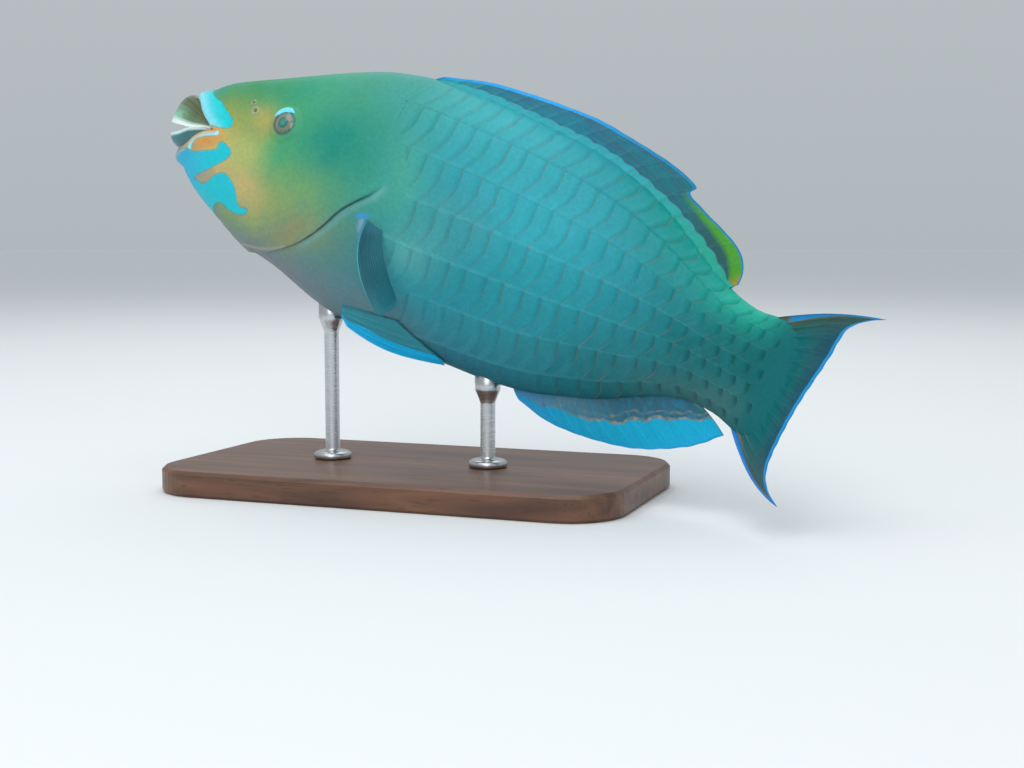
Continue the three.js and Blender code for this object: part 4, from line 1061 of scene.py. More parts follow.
def skin_material():
    """Parrotfish skin, smooth and damp: a low satin gloss over colour that drifts in soft fields, under
    thin lines, a painted shade in the gill cover's slit and bright patches, two of them painted paler toward
    the upper lip's edge as a painted highlight. A patch is switched on where its distance in mm passes zero."""
    material, tree, shader = start_material("wet_skin", **WET_SKIN)
    mottle, grain, colour = soft_colour(tree)
    at = point_values(tree, "gill_slit_shade", "gill_pale", "throat_fold", "lip_band", "chin_patch", "lip_stripe",
                      "lip_highlight", "patch_front", "inner_lip", "gape")
    colour = painted(tree, colour, [
        (at["gill_pale"], 0.0, 1.0, 0.50, "#78b4b8"),
        (at["throat_fold"], 0.9, 0.1, 0.55, "#b3a79b"),
        # A painted shade in the gill cover's slit
        (at["gill_slit_shade"], 0.0, 1.0, 0.65, "#2c4a56"),
    ])
    # Each patch has a darker rim and a different front: on the lip band and lip stripe, paler toward the
    # upper lip's edge as a painted highlight; on the chin and throat patches, bluer toward the front
    for patch, shade, rim, front, front_shade in (
        ("lip_band", "#16c4cc", "#1c8f86", "lip_highlight", "#8fdcec"),
        ("chin_patch", "#20c0ce", "#1d8796", "patch_front", "#3cb0d8"),
        ("lip_stripe", "#8fe6ec", "#2a9c98", "lip_highlight", "#a8eef2"),
    ):
        ragged = times(tree, grain, 0.5, plus=at[patch])
        within = add(tree, "MapRange", ragged, 0.2, 0.8)
        lighter = times(tree, within, at[front])
        colour = painted(tree, colour, [
            (ragged, -0.10, 0.25, 0.55, rim),
            (within, 0.0, 1.0, 1.0, shade),
            (lighter, 0.0, 1.0, 0.85, front_shade),
        ])
    colour = painted(tree, colour, [
        (at["inner_lip"], 0.0, 1.0, 1.0, "#dd9a6a"),
        (at["gape"], 0.0, 1.0, 1.0, "#55502c"),
    ])
    finish_skin(tree, shader, colour, mottle, grain)
    return material


# Eyes, orbit rims and nostrils

def local_axes(s, z, side):
    """Point on the side's surface with its outward, tailward and upward directions."""
    point, outward = surface_spot(s, z, side)
    ahead, behind = surface_spot(s - 0.004, z, side)[0], surface_spot(s + 0.004, z, side)[0]
    tailward = behind - ahead
    tailward = unit(tailward - outward * (tailward @ outward))
    upward = np.cross(outward, tailward)
    return point, outward, tailward, upward * np.sign(upward[2])


def straight_place(points):
    """[s, z] of points in mm over the unbent front of the fish: the pitch undone."""
    dx, dz = points[..., 0] - FISH_CENTRE_X, points[..., 2] - FISH_CENTRE_Z
    along = dx * np.cos(PITCH) - dz * np.sin(PITCH)
    up = dx * np.sin(PITCH) + dz * np.cos(PITCH)
    return along / STANDARD_LENGTH + 0.5, up / STANDARD_LENGTH


def turned_about(axes, profile, count, drape):
    """A [radius, height] profile in mm turned about a spot's outward axis. drape is each
    profile point's share of how far the flesh falls away there from the flat through the
    spot. Returns the points and their mm tailward and upward of the spot."""
    point, outward, tailward, upward = axes
    radius, height = np.array(profile, float).T[:, :, None]
    turn = 2 * np.pi * np.arange(count) / count
    back, up = radius * np.cos(turn), radius * np.sin(turn)
    flat = point + back[..., None] * tailward + up[..., None] * upward
    s, z = straight_place(flat)
    side = np.sign(point[1])
    on_flesh = flesh(s, side * angle_at(s, z))
    fall = ((on_flesh - flat) @ outward) * np.asarray(drape, float)[:, None]
    return flat + (height + fall)[..., None] * outward, back, up


def build_eye(side, name, material):
    """Eyeball as an ellipsoid: radius times the sine, and
    depth times the cosine, of the angle from its front."""
    point, outward, tailward, upward = local_axes(*EYE_CENTRE, side)
    rows, columns = 44, 88
    from_front = np.linspace(0, np.pi, rows + 2)[1:-1]
    profile = np.column_stack([EYE_RADIUS * np.sin(from_front), EYE_DEPTH * np.cos(from_front) - EYE_SINK])
    points, back, up = turned_about((point, outward, tailward, upward), profile, columns, np.zeros(rows))
    poles = point + np.outer([EYE_DEPTH - EYE_SINK, -EYE_DEPTH - EYE_SINK], outward)
    return make_piece(
        name, np.concatenate([points.reshape(-1, 3), poles]), tube_faces(rows, columns), material, "eye",
        {"eye_back": np.append(back.ravel(), [0, 0]), "eye_up": np.append(up.ravel(), [0, 0])}, (name,),
    )


ORBIT_PROFILE = [
    [10.6, -0.55], [9.7, -0.10], [8.9, 0.22], [8.1, 0.58], [7.3, 0.92], [6.6, 1.12], [6.05, 1.20],
    [5.65, 1.16], [5.38, 1.02], [5.28, 0.80], [5.40, 0.35], [6.2, -1.0], [7.6, -1.7], [9.4, -1.5],
]
ORBIT_DRAPE = [1, 1, 0.95, 0.85, 0.7, 0.5, 0.3, 0.2, 0.1, 0, 0, 0, 0.4, 0.8]


def build_orbit(side, name, material):
    """Raised fleshy rim round the eye: a closed profile
    turned about the eye's axis and draped on the cheek."""
    columns = 112
    points, back, up = turned_about(local_axes(*EYE_CENTRE, side), ORBIT_PROFILE, columns, ORBIT_DRAPE)
    s, z = straight_place(points)
    values = {"eye_back": back, "eye_up": up, **field_weights(s, z)}
    faces = sheet_faces(len(ORBIT_PROFILE), columns, wrap_rows=True, wrap_columns=True)
    return make_piece(name, points, [faces], material, "skin", values)


NOSTRIL_PROFILE = [
    [0.35, -1.15], [0.7, -1.0], [0.95, -0.35], [1.1, 0.18], [1.35, 0.40], [1.7, 0.30], [2.2, 0.02],
    [2.8, -0.22], [2.4, -0.8], [1.4, -1.6],
]


def build_nostrils(side, name, material):
    """The side's two nostrils as small rimmed pits: a profile scaled by each one's radius and turned."""
    columns = 36
    points, rims, groups = [], [], []
    for s, z, radius in NOSTRILS:
        axes = local_axes(s, z, side)
        profile = np.array(NOSTRIL_PROFILE) * [radius, 1.0]
        drape = np.clip(np.array(NOSTRIL_PROFILE)[:, 0] / 2.5, 0, 1)
        pit, back, up = turned_about(axes, profile, columns, drape)
        first = sum(len(part) for part in points)
        poles = axes[0] + np.outer([-1.25, -1.7], axes[1])
        points.append(np.concatenate([pit.reshape(-1, 3), poles]))
        rims.append(np.append(np.hypot(back, up).ravel() / radius, [0, 2.8]))
        groups += [group + first for group in tube_faces(len(profile), columns)]
    points = np.concatenate(points)
    s, z = straight_place(points)
    values = {"pit_radius": np.concatenate(rims), **field_weights(s, z)}
    return make_piece(name, points, groups, material, "skin", values)


# Beak

def beak_sheet(profile, lip_edge, cutting_edge, back_end, count, steps):
    """Middle points of half the beak, the part's arch: stations turn from corner to corner, each a copy of
    the middle's profile drawn back by cos(turn) ^ 0.9 and squeezed between the lip and the cutting edge."""
    lip_height, edge_height = smooth(lip_edge), smooth(cutting_edge)
    clear = np.sign(cutting_edge[0][1] - lip_edge[0][1]) * 1.6 * GAP / STANDARD_LENGTH
    lip_s, lip_z = profile[0]
    edge_s, edge_z = profile[-1]
    profile_s, profile_z = run_through(profile, steps).T[:, :, None]
    turn = np.linspace(-np.pi / 2, np.pi / 2, count)[None, :]
    forward = np.maximum(np.cos(turn), 0) ** 0.9
    top = lip_height(np.maximum(back_end - (back_end - lip_s) * forward, lip_edge[0][0])) + clear
    bottom = edge_height(back_end - (back_end - edge_s) * forward)
    share = (profile_z - edge_z) / (lip_z - edge_z)
    s = back_end - (back_end - profile_s) * forward
    y = BEAK_HALF_WIDTH * (1 - 0.10 * share**2) * np.sin(turn)
    z = bottom + (top - bottom) * share
    return s, y, z, share, turn


def build_beak(name, profile, lip_edge, cutting_edge, back_end, material, closing=0.0):
    """Half the beak as a horny plate 2 mm thick that thins to its edge. The edge is
    finely uneven where teeth meet in it, and a seam runs down the middle. Beside
    the mouth's corner the edge rises by closing mm, to meet the other half's."""
    count, steps = 181, 40
    s, y, z, share, turn = beak_sheet(profile, lip_edge, cutting_edge, back_end, count, steps)
    lean = np.sign(profile[0][1] - profile[-1][1])
    arc = turn * BEAK_HALF_WIDTH * STANDARD_LENGTH * 1.15
    teeth = 0.5 + 0.5 * np.cos(2 * np.pi * arc / 1.9)
    z = z + lean * (1 - ease(0, 0.10, share)) * 0.26 * teeth / STANDARD_LENGTH
    z = z + closing * ease(-0.012, 0.014, s) * (1 - ease(0, 0.6, share)) / STANDARD_LENGTH
    half = 0.28 + 0.72 * ease(0, 0.30, share)
    middle = place(s, y, z)
    outward = unit(np.cross(np.gradient(middle, axis=0), np.gradient(middle, axis=1)))
    outward *= np.sign((outward[:, count // 2] @ [-1.0, 0, 0]).mean())
    seam = 0.22 * np.exp(-((arc / 0.35) ** 2)) * ease(0, 0.15, share)
    middle = middle - outward * (half + seam)[..., None]
    points, faces = plate(middle, np.broadcast_to(half, middle.shape[:2]))
    values = on_both_faces({"edge_share": share, "beak_arc": arc}, middle.shape[:2])
    return make_piece(name, points, faces, material, "beak", values, (name,))


# Fins

def build_fin(name, rays, centre, ray_half, material, per_ray=12, rows=26, spines=0, membrane=0.17,
              sheath=None):
    """A rayed fin as a thin closed plate. centre(u, v) is its middle sheet, u across the
    rays and v from root to margin. Its half thickness is the membrane's plus, over each
    ray, exp(-((off - branch) / width) ^ 2), off being the distance to the ray in ray
    intervals. Soft rays branch twice toward the margin; spines stay single. sheath gives,
    in mm along the fin, the height of a lobed sheath of scales that thickens its foot."""
    u = np.linspace(0, 1, per_ray * (rays - 1) + 1)[None, :]
    v = np.linspace(0, 1, rows)[:, None]
    ray = u * (rays - 1)
    off = np.abs(ray - np.round(ray))
    notch = MARGIN_SCALLOP * np.sin(np.pi * off) ** 2
    soft = ease(spines - 0.6, spines - 0.4, ray)
    branch = 0.15 * ease(0.30, 1.0, v) * soft
    fork = 0.075 * ease(0.62, 1.0, v) * soft
    width = 0.105 - 0.055 * v * soft
    ridge = np.maximum(
        np.exp(-(((off - branch - fork) / width) ** 2)), np.exp(-(((off - branch + fork) / width) ** 2)))
    root, tip = ray_half
    joints = 1 - 0.10 * soft * (0.5 + 0.5 * np.cos(2 * np.pi * 26 * v)) * ease(0.15, 0.3, v)
    half = membrane + (root + (tip - root) * v - membrane) * ridge * joints
    half = half * (1 - 0.55 * ease(0.90, 1.0, v))
    middle = centre(*np.broadcast_arrays(u, v * (1 - notch)))
    down_ray = np.linalg.norm(np.diff(middle, axis=0), axis=-1)
    along = np.concatenate([np.zeros((1, middle.shape[1])), np.cumsum(down_ray, axis=0)])
    across = np.linalg.norm(np.diff(middle, axis=1), axis=-1)
    beside = np.concatenate([np.zeros((rows, 1)), np.cumsum(across, axis=1)], axis=1)
    in_sheath = -np.ones_like(along)
    if sheath:
        lobe = np.abs(np.sin(np.pi * beside[:1] / SHEATH_LOBE))
        in_sheath = smooth(sheath)(u) + SHEATH_LOBE_HEIGHT * lobe - along
        depth = np.clip(in_sheath, 0, 4)
        half = half + (0.20 + 0.14 * depth + 0.05 * depth**2) * ease(-0.1, 0.7, in_sheath)
    points, faces = plate(middle, half)
    on_rim = np.repeat([False, False, True], [len(group) for group in faces])
    values = {
        "fin_u": u,
        "fin_v": v,
        "fin_ray": ray,
        "ridge": ridge,
        "root_mm": along,
        "margin_mm": along[-1] - along,
        "lead_mm": beside,
        "trail_mm": beside[:, -1:] - beside,
        "sheath_mm": in_sheath,
    }
    values = on_both_faces(values, half.shape)
    return make_piece(name, points, faces, material, "fin", values, (name,), rim=on_rim)


def midline_fin(root, tips, wave, bulge=0):
    """Middle sheet of a fin on the midline: each ray from root(u) to its tip, bowed by
    a quarter of v(1 - v). The bulge bows the last rays by u^4 times 4v(1 - v) more."""
    tip_at = smooth(tips)

    def centre(u, v):
        root_s, root_z = root(u)
        tip_s, tip_z = np.moveaxis(tip_at(u), -1, 0)
        bow = 0.25 * v * (1 - v)
        rise = (tip_z - root_z) * (v + bow) + bulge * u**4 * 4 * v * (1 - v)
        return place(root_s + (tip_s - root_s) * (v - bow), wave(u) * v, root_z + rise)

    return centre


def dorsal_root(u):
    s = DORSAL_BASE[0] + (DORSAL_BASE[1] - DORSAL_BASE[0]) * u
    return s, back_at(s) - ROOT_SINK


def anal_root(u):
    s = ANAL_BASE[0] + (ANAL_BASE[1] - ANAL_BASE[0]) * u
    return s, belly_at(s) + ROOT_SINK


def caudal_root(u):
    return CAUDAL_ROOT, CAUDAL_ROOT_Z[0] + (CAUDAL_ROOT_Z[1] - CAUDAL_ROOT_Z[0]) * u


def pectoral_centre(side):
    """Middle sheet of a pectoral fin: each ray a quadratic Bezier curve from root by bend to tip."""
    root_at, bend_at, tip_at = smooth(PECTORAL_ROOT), smooth(PECTORAL_BEND), smooth(PECTORAL_TIPS)

    def centre(u, v):
        v = v[..., None]
        curve = (1 - v) ** 2 * root_at(u) + 2 * v * (1 - v) * bend_at(u) + v**2 * tip_at(u)
        s, y, z = np.moveaxis(curve, -1, 0)
        return place(s, side * y, z)

    return centre


def pelvic_centre(side):
    """Middle sheet of a pelvic fin, folded back along the
    belly a little off the flesh, its inner rays closer."""
    length_at = smooth(PELVIC_LENGTHS)
    leading, inner_root, inner_tip = PELVIC_ANGLES
    lift_v, lift = np.array(PELVIC_LIFT).T

    def centre(u, v):
        inner = inner_root + (inner_tip - inner_root) * np.sqrt(v)
        angle = np.pi - side * (leading + (inner - leading) * u)
        drop = PELVIC_DROP * (1 - u) ** 2 * np.sin(np.pi * v)
        return flesh(PELVIC_ROOT_S + length_at(u) * v, angle, np.interp(v, lift_v, lift) + drop - 0.9 * u)

    return centre


# Materials of the eyes, beak, fins, stand and floor

def from_eye(tree):
    """Distance in mm from the eye's middle, and the direction from tailward round by upward in radians."""
    back = point_value(tree, "eye_back")
    up = point_value(tree, "eye_up")
    spot = add(tree, "CombineXYZ", back, up)
    radius = add(tree, "VectorMath", spot, out="Value", operation="LENGTH")
    turn = add(tree, "Math", up, back, operation="ARCTAN2")
    return spot, radius, turn


def eye_material():
    """Cornea, polished and wet: a mirror-like clear coat over the iris, whose fibres run out from the
    pupil, and a pupil painted teal and paler toward its middle as a painted reflection."""
    material, tree, shader = start_material("wet_cornea", IOR=1.376, Roughness=0.25, Coat_Weight=1.0,
                                            Coat_Roughness=0.03)
    spot, radius, _ = from_eye(tree)
    direction = add(tree, "VectorMath", spot, operation="NORMALIZE")
    depth = add(tree, "CombineXYZ", named={2: radius})
    fibre_place = add(tree, "VectorMath", direction, (5, 5, 5), depth, operation="MULTIPLY_ADD")
    fibres = add(tree, "TexNoise", named={"Vector": fibre_place, "Scale": 1.0, "Detail": 4})
    colour = painted(tree, linear("#6c7a6a"), [
        (fibres, 0.50, 0.70, 0.6, "#48604f"),
        (fibres, 0.48, 0.30, 0.4, "#958f68"),
        (radius, 3.9, 4.8, 0.7, "#3a5c58"),
        (radius, 4.9, 5.4, 0.9, "#2a4443"),
        (radius, 3.4, 3.0, 0.5, "#7d7450"),
        # The pupil, painted teal and paler toward its middle: a painted reflection
        (radius, 2.75, 2.55, 1.0, "#1d6459"),
        (radius, 2.4, 0.3, 0.7, "#3c9d8c"),
    ])
    join(tree, shader, Base_Color=colour)
    return material


def orbit_material():
    """Skin drawn up round the eye, smooth and wet, with a pale blue arc over the eye."""
    material, tree, shader = start_material("wet_eyelid", **WET_SKIN)
    mottle, grain, colour = soft_colour(tree)
    _, radius, turn = from_eye(tree)
    ends = add(tree, "MapRange", turn, 1.15, 1.65, 0.0, 1.0)
    other_end = add(tree, "MapRange", turn, 3.05, 2.60, 0.0, 1.0)
    arc = times(tree, ends, other_end)
    half = times(tree, arc, 1.35)
    crest = add(tree, "Math", radius, 6.75, half, operation="COMPARE")
    ahead = add(tree, "Math", turn, operation="ABSOLUTE")
    below = add(tree, "MapRange", ahead, 1.5, 2.5)
    near = add(tree, "MapRange", radius, 9.8, 7.2)
    warm = times(tree, below, near)
    colour = painted(tree, colour, [
        (warm, 0.0, 1.0, 0.35, "#a98f55"),
        (radius, 6.6, 5.4, 0.8, "#3f5f58"),
        (crest, 0.0, 1.0, 0.97, "#6fdcf2"),
    ])
    finish_skin(tree, shader, colour, mottle, grain)
    return material


def nostril_material():
    """Thin wet skin turned in at the nostrils: a pale rim round a dusky pit."""
    material, tree, shader = start_material("wet_nostril_skin", **WET_SKIN)
    mottle, grain, colour = soft_colour(tree)
    pit = point_value(tree, "pit_radius")
    colour = painted(tree, colour, [
        (pit, 2.4, 1.4, 0.55, "#b4b49e"),
        (pit, 0.95, 0.6, 0.75, "#66705a"),
    ])
    finish_skin(tree, shader, colour, mottle, grain)
    return material


def beak_material(name, middle, root, shadow, edge):
    """Fused teeth, worn smooth and wet: an enamel shine, fine upright lines where
    teeth meet and faint bands of growth across them, paler at the biting edge."""
    material, tree, shader = start_material(name, IOR=1.62, Coat_Weight=0.4, Coat_Roughness=0.08,
                                            Roughness=0.27)
    share = point_value(tree, "edge_share")
    arc = point_value(tree, "beak_arc")
    coordinates = add(tree, "TexCoord", out="Object")
    cloud = noise(tree, coordinates, 3.0, 4)
    bent = times(tree, cloud, 0.9, plus=arc)
    rows = add(tree, "Math", bent, 0.95, operation="PINGPONG")
    bands = times(tree, share, 40.0, plus=cloud)
    waves = add(tree, "Math", bands, operation="SINE")
    dark_bands = times(tree, waves, share)
    off_middle = add(tree, "Math", arc, operation="ABSOLUTE")
    colour = painted(tree, linear(middle), [
        (share, 0.30, 0.72, 0.95, root),
        (off_middle, 7.0, 13.0, 0.8, root),
        (cloud, 0.45, 0.75, 0.5, root),
        (dark_bands, 0.25, 0.75, 0.55, shadow),
        (rows, 0.16, 0.03, 0.30, shadow),
        (share, 0.24, 0.08, 0.95, edge),
    ])
    height = add(tree, "Math", rows, 0.3, operation="MINIMUM")
    bump = add(tree, "Bump", named={"Strength": 0.35, "Distance": 0.0002, "Height": height})
    join(tree, shader, Base_Color=colour, Normal=bump)
    return material


def start_fin(name, slant, fineness=2.3, breaks=0.07):
    """Fin skin stretched thin over rays, wet. Returns the values its colours
    are laid by, with blotches, a grain, and streaks that lean by slant rays
    in each mm, fineness to a ray, and change along by breaks in each mm."""
    material, tree, shader = start_material(name, **WET_SKIN)
    at = point_values(tree, "fin_u", "fin_v", "fin_ray", "ridge", "root_mm", "margin_mm", "lead_mm",
                      "trail_mm", "sheath_mm")
    coordinates = add(tree, "TexCoord", out="Object")
    for key, size in (("blotch", 8.0), ("grain", 1.0)):
        at[key] = noise(tree, coordinates, size, 3)
    leaning = times(tree, at["root_mm"], slant, plus=at["fin_ray"])
    slow = times(tree, at["root_mm"], breaks)
    fabric = add(tree, "CombineXYZ", leaning, slow)
    at["streak"] = add(tree, "TexNoise", named={"Vector": fabric, "Scale": fineness, "Detail": 2})
    return material, tree, shader, at


def dorsal_material():
    """Wet fin skin: slate blue with long dusky streaks that run back almost along the fin, a green band
    inside the rear margin, a bright blue hem, and the back's own colour on the sheath at its foot."""
    material, tree, shader, at = start_fin("dorsal_fin_skin", 0.9, 0.7, 0.35)
    hem = times(tree, at["fin_u"], 3.1, plus=at["margin_mm"])
    in_hem = add(tree, "MapRange", hem, 4.0, 3.4)
    forward = add(tree, "MapRange", at["fin_u"], 0.75, 0.30)
    front_hem = times(tree, in_hem, forward)
    inside = times(tree, at["fin_u"], -14.0, plus=at["margin_mm"])
    along_margin = add(tree, "MapRange", inside, -5.6, -8.2)
    to_rear = add(tree, "MapRange", at["fin_u"], 0.70, 0.80)
    green = times(tree, along_margin, to_rear)
    rear_sheath = add(tree, "Math", at["sheath_mm"], 0.4, operation="GREATER_THAN")
    greener = times(tree, rear_sheath, at["fin_u"])
    colour = painted(tree, linear("#257f92"), [
        (at["blotch"], 0.45, 0.70, 0.5, "#22708a"),
        (at["streak"], 0.46, 0.58, 0.75, "#40617a"),
        (at["streak"], 0.60, 0.70, 0.6, "#268a96"),
        (at["fin_u"], 0.45, 0.80, 0.75, "#24666a"),
        (at["fin_u"], 0.76, 0.88, 0.8, "#2b5654"),
        (green, 0.0, 1.0, 0.95, "#4a9a2a"),
        (at["fin_u"], 0.975, 1.0, 0.9, "#a5802e"),
        (at["ridge"], 0.5, 1.0, 0.08, "#5fa3af"),
        (at["fin_u"], 0.13, 0.04, 0.9, "#2ba2a8"),
        (hem, 4.1, 3.5, 1.0, "#2184ae"),
        (front_hem, 0.0, 1.0, 1.0, "#2fa4ea"),
        (at["sheath_mm"], -0.5, 0.1, 0.35, "#2f5068"),
        (at["sheath_mm"], 0.0, 0.6, 1.0, "#2a9ea9"),
        (greener, 0.62, 0.88, 1.0, "#1d9a88"),
    ])
    finish_skin(tree, shader, colour, at["blotch"], at["grain"])
    return material


def anal_material():
    """Wet fin skin: slate at the foot, dusky to the rear, with blue flecks and thin broken
    salmon lines, then clear azure to the margin and a pale green rim along the last ray."""
    material, tree, shader, at = start_fin("anal_fin_skin", 0.05)
    swung = times(tree, at["blotch"], 0.30, plus=at["fin_v"])
    wave = times(tree, at["fin_ray"], 2.9)
    sway = add(tree, "Math", wave, operation="SINE")
    level = times(tree, sway, 0.025, plus=swung)
    last = add(tree, "Math", at["fin_u"], 7.0, operation="POWER")
    edge = times(tree, last, -0.25, plus=level)
    off_line = add(tree, "Math", edge, 0.66, operation="SUBTRACT")
    to_rear = add(tree, "MapRange", at["fin_u"], 0.25, 0.50, 0.2, 1.0)
    broken = add(tree, "MapRange", at["streak"], 0.40, 0.55, 1.0, 0.3)
    covers = []
    for offset, share in ((-0.02, 1.0), (-0.13, 0.6)):
        beside = add(tree, "Math", off_line, offset, operation="SUBTRACT")
        near = add(tree, "Math", beside, operation="ABSOLUTE")
        on_line = add(tree, "MapRange", near, 0.035, 0.012, 0.0, share)
        line = times(tree, on_line, to_rear)
        uneven = times(tree, line, broken)
        covers.append(uneven)
    upper_rim = add(tree, "MapRange", at["trail_mm"], 2.6, 1.6)
    near_root = add(tree, "MapRange", at["fin_v"], 0.60, 0.40)
    pale_rim = times(tree, upper_rim, near_root)
    colour = painted(tree, linear("#5a8c9e"), [
        (at["fin_u"], 0.30, 0.62, 0.85, "#245e74"),
        (at["streak"], 0.50, 0.64, 0.5, "#1f84a2"),
        (covers[1], 0.0, 1.0, 0.8, "#8f9083"),
        (off_line, -0.02, 0.02, 1.0, "#10a8d0"),
        (covers[0], 0.0, 1.0, 0.8, "#a39a88"),
        (at["margin_mm"], 7.0, 3.0, 0.35, "#1fa6da"),
        (at["fin_u"], 0.30, 0.05, 0.5, "#2b90d8"),
        (at["margin_mm"], 1.2, 0.5, 0.6, "#1f8ad0"),
        (pale_rim, 0.0, 1.0, 0.75, "#5fa58a"),
    ])
    finish_skin(tree, shader, colour, at["blotch"], at["grain"])
    return material


def caudal_material():
    """Wet fin skin: deep teal that takes over from the skin's own, brown
    along both lobes, with bright blue edges above, below and behind."""
    material, tree, shader, at = start_fin("tail_fin_skin", 0.01)
    upper_edge = add(tree, "MapRange", at["lead_mm"], 4.2, 3.5)
    clear_of_root = add(tree, "MapRange", at["root_mm"], 5.0, 9.0)
    upper_hem = times(tree, upper_edge, clear_of_root)
    colour = painted(tree, linear("#286466"), [
        (at["root_mm"], 24.0, 38.0, 0.85, "#1f5562"),
        (at["margin_mm"], 12.0, 4.0, 0.5, "#1f4a66"),
        (at["blotch"], 0.45, 0.65, 0.3, "#2a6470"),
        (at["streak"], 0.50, 0.62, 0.35, "#1a4a58"),
        (at["ridge"], 0.5, 1.0, 0.06, "#4a8080"),
        (at["root_mm"], 31.0, 21.0, 1.0, FIELDS["tail_end"][0]),
        (at["fin_u"], 0.22, 0.06, 0.75, "#486250"),
        (at["fin_u"], 0.78, 0.95, 0.75, "#45625e"),
        (at["lead_mm"], 6.6, 4.6, 0.7, "#6f6a44"),
        (at["trail_mm"], 7.0, 5.0, 0.5, "#7c6650"),
        (at["margin_mm"], 2.3, 1.7, 1.0, "#2a94d6"),
        (upper_hem, 0.0, 1.0, 1.0, "#2890cc"),
        (at["trail_mm"], 4.4, 3.7, 1.0, "#2a80c6"),
    ])
    finish_skin(tree, shader, colour, at["blotch"], at["grain"])
    return material


def pectoral_material():
    """Wet fin skin: dark teal with a thin pale blue leading edge."""
    material, tree, shader, at = start_fin("pectoral_fin_skin", 0.02)
    colour = painted(tree, linear("#195a66"), [
        (at["streak"], 0.45, 0.65, 0.4, "#1f6670"),
        (at["fin_u"], 0.45, 0.95, 0.4, "#2b7480"),
        (at["fin_v"], 0.75, 1.0, 0.4, "#2d7f90"),
        (at["fin_v"], 0.22, 0.10, 0.4, "#4a8fa8"),
        (at["lead_mm"], 1.3, 0.6, 0.8, "#4aa0b4"),
    ])
    finish_skin(tree, shader, colour, at["blotch"], at["grain"])
    return material


def pelvic_material():
    """Wet fin skin: the belly's slate blue behind a bright blue leading band that is narrow at the
    root and 7 mm broad further back, with a painted shadow as a dark slate line just behind the band."""
    material, tree, shader, at = start_fin("pelvic_fin_skin", 0.02)
    breadth = add(tree, "MapRange", at["root_mm"], 2.0, 20.0, 1.5, 7.0)
    past_band = add(tree, "Math", at["lead_mm"], breadth, operation="SUBTRACT")
    colour = painted(tree, linear("#35909e"), [
        (at["streak"], 0.45, 0.65, 0.2, "#2f8292"),
        # A painted shadow: a dark slate line just behind the blue band
        (past_band, 2.0, 0.6, 0.4, "#2a6478"),
        (past_band, 0.7, 0.0, 1.0, "#16b2e8"),
    ])
    finish_skin(tree, shader, colour, at["blotch"], at["grain"])
    return material


def wood_material():
    """Walnut, planed and oiled: a low sheen over brown bands
    9 mm apart, with pores drawn out along the grain."""
    material, tree, shader = start_material("oiled_walnut", IOR=1.5, Roughness=0.42, Coat_Weight=0.15,
                                            Coat_Roughness=0.3)
    coordinates = add(tree, "TexCoord", out="Object")
    lengthwise = add(tree, "VectorMath", coordinates, (0.09, 1.0, 1.0), operation="MULTIPLY")
    bands = noise(tree, lengthwise, 9, 5, Distortion=0.6)
    pores = noise(tree, lengthwise, 0.8, 2)
    colour = painted(tree, linear("#6b4630"), [
        (bands, 0.45, 0.65, 0.8, "#452a1b"),
        (bands, 0.42, 0.30, 0.6, "#86603f"),
        (pores, 0.60, 0.72, 0.6, "#2d1b12"),
    ])
    bump = add(tree, "Bump", named={"Strength": 0.15, "Distance": 0.0002, "Height": pores})
    join(tree, shader, Base_Color=colour, Normal=bump)
    return material


def steel_material():
    """Stainless steel, turned and brushed round: streaked
    reflections from marks 0.1 mm apart, drawn at 0.5 mm."""
    material, tree, shader = start_material("brushed_stainless", Metallic=1.0)
    coordinates = add(tree, "TexCoord", out="Object")
    stretched = add(tree, "VectorMath", coordinates, (0.06, 0.06, 1.0), operation="MULTIPLY")
    marks = noise(tree, stretched, 0.5, 2)
    rough = add(tree, "MapRange", marks, 0.3, 0.7, 0.22, 0.38)
    bump = add(tree, "Bump", named={"Strength": 0.12, "Distance": 0.0001, "Height": marks})
    shader["Base Color"].default_value = linear("#c3c6c8")
    join(tree, shader, Roughness=rough, Normal=bump)
    return material


# Stand

def build_rod(name, s, material):
    """Rod turned from round bar: a foot, a shaft and a cup
    that flares to carry the belly and ends inside it."""
    top = place(s, 0.0, belly_at(s))
    bottom = BASE_TOP + GAP
    cup = top[2] - 0.6 * CUP_HEIGHT - bottom
    profile = np.array([
        [0.6, 0.0], [FLANGE_RADIUS - 0.4, 0.0], [FLANGE_RADIUS, 0.4], [FLANGE_RADIUS, 1.9],
        [FLANGE_RADIUS - 0.3, 2.5], [FLANGE_RADIUS - 1.2, 3.1], [FLANGE_RADIUS - 2.4, FLANGE_HEIGHT],
        [4.7, 3.55], [3.95, 3.8], [3.6, 4.3], [ROD_RADIUS, 5.0], [ROD_RADIUS, cup - 6.6], [3.62, cup - 5.7],
        [4.15, cup - 4.2], [5.35, cup - 1.3], [5.8, cup - 0.3], [CUP_RADIUS, cup + 0.5],
        [CUP_RADIUS, cup + CUP_HEIGHT + 3.2], [0.6, cup + CUP_HEIGHT + 3.4],
    ])
    turn = 2 * np.pi * np.arange(72) / 72
    radius, height = profile.T[:, :, None]
    points = np.stack(np.broadcast_arrays(
        top[0] + radius * np.cos(turn), radius * np.sin(turn), bottom + height), axis=-1)
    poles = [[top[0], 0, bottom], [top[0], 0, bottom + profile[-1, 1]]]
    faces = tube_faces(len(profile), 72)
    return make_piece(name, np.concatenate([points.reshape(-1, 3), poles]), faces, material, "stand_steel",
                      stands_for=(name,))


# Assembly

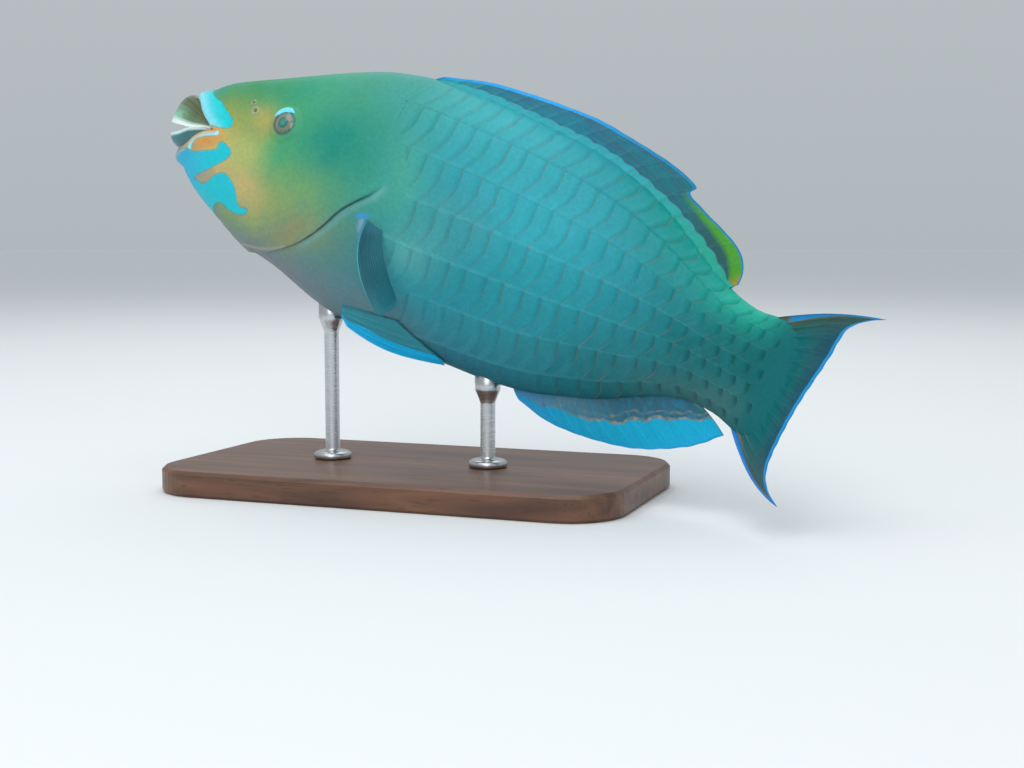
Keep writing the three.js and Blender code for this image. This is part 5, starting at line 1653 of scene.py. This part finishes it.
build_skin(skin_material())
build_scales(scale_material())
cornea, eyelid, nostril_skin = eye_material(), orbit_material(), nostril_material()
pectoral_skin, pelvic_skin = pectoral_material(), pelvic_material()
for side, word in ((-1, "left"), (1, "right")):
    build_eye(side, f"eye_{word}", cornea)
    build_orbit(side, f"orbit_{word}", eyelid)
    build_nostrils(side, f"nostrils_{word}", nostril_skin)
    build_fin(f"fin_pectoral_{word}", PECTORAL_RAYS, pectoral_centre(side), (0.45, 0.24), pectoral_skin,
              membrane=0.14)
    build_fin(f"fin_pelvic_{word}", PELVIC_RAYS, pelvic_centre(side), (0.55, 0.28), pelvic_skin, rows=30)
build_beak("beak_upper", BEAK_UPPER, LIP_UPPER, EDGE_UPPER, BEAK_UPPER_BACK,
           beak_material("upper_tooth_plate", "#8cd2ae", "#525f38", "#33381f", "#ecfffa"))
build_beak("beak_lower", BEAK_LOWER, LIP_LOWER, EDGE_LOWER, BEAK_LOWER_BACK,
           beak_material("lower_tooth_plate", "#2f868c", "#256c72", "#1b4a50", "#e3f6f4"), closing=1.1)
dorsal_sheet = midline_fin(dorsal_root, DORSAL_TIPS, lambda u: 0.004 * np.sin(9 * u))
anal_sheet = midline_fin(anal_root, ANAL_TIPS, lambda u: 0.004 * np.sin(6 * u), ANAL_BULGE)
caudal_sheet = midline_fin(caudal_root, CAUDAL_TIPS, caudal_wave, CAUDAL_BULGE)
build_fin("fin_dorsal", DORSAL_RAYS, dorsal_sheet, (0.75, 0.32), dorsal_material(), spines=9, rows=34,
          sheath=DORSAL_SHEATH)
build_fin("fin_anal", ANAL_RAYS, anal_sheet, (0.60, 0.28), anal_material(), spines=2)
build_fin("fin_caudal", CAUDAL_RAYS, caudal_sheet, (1.25, 0.36), caudal_material(), rows=34, membrane=0.25)

steel = steel_material()
build_rod("stand_rod_front", FRONT_ROD_S, steel)
build_rod("stand_rod_rear", REAR_ROD_S, steel)
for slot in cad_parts["stand_base"].material_slots:
    slot.link = "OBJECT"
    slot.material = wood_material()

# Studio: a wide pale floor under a sky that matches it at the horizon, a soft light overhead and two fills
FLOOR_COLOUR = "#e6e9eb"
SKY_COLOUR = "#eef3f6"
SKY_STRENGTH = 0.72
FLOOR_RADIUS = 40000.0  # mm
floor_material, _, floor_shader = start_material("matt_pale_vinyl", Roughness=0.8, IOR=1.3)
floor_shader["Base Color"].default_value = linear(FLOOR_COLOUR)
ring = 2 * np.pi * np.arange(96) / 96
floor_points = np.column_stack([FLOOR_RADIUS * np.cos(ring), FLOOR_RADIUS * np.sin(ring), np.zeros(96)])
floor = make_piece("floor", floor_points, [np.arange(96)[None, :]], floor_material)
for name, energy, size, location, aim in (
    ("overhead_softbox", 9.0, 1.3, (-0.05, -0.45, 1.35), (0.03, 0.0, 0.10)),
    ("camera_fill", 7.0, 0.9, (0.35, -1.5, 0.75), (0.03, 0.0, 0.10)),
    ("back_fill", 5.0, 1.2, (-0.3, 0.9, 1.3), (-0.3, 0.9, 0.0)),
):
    lamp = bpy.data.lights.new(name, "AREA")
    lamp.energy = energy
    lamp.size = size
    light = bpy.data.objects.new(name, lamp)
    light.location = location
    light.rotation_euler = (Vector(location) - Vector(aim)).to_track_quat("Z", "Y").to_euler()
    bpy.context.scene.collection.objects.link(light)
# The horizon is as bright as the far floor, whose light from this sky is two thirds of the zenith's
# brightness and one third of the horizon's own
zenith = np.array(linear(SKY_COLOUR)[:3])
floor_light = np.array(linear(FLOOR_COLOUR)[:3])
horizon = floor_light * (2 / 3) / (1 - floor_light / 3) * zenith
world = bpy.data.worlds.new("studio")
world.use_nodes = True
sky = world.node_tree
direction = add(sky, "TexCoord", out="Generated")
upward = add(sky, "SeparateXYZ", direction, out="Z")
shade = add(sky, "Mix", upward, out=2, named={6: (*horizon, 1.0), 7: (*zenith, 1.0)}, data_type="RGBA")
backdrop = sky.nodes["Background"].inputs
sky.links.new(shade, backdrop["Color"])
backdrop["Strength"].default_value = SKY_STRENGTH
bpy.context.scene.world = world
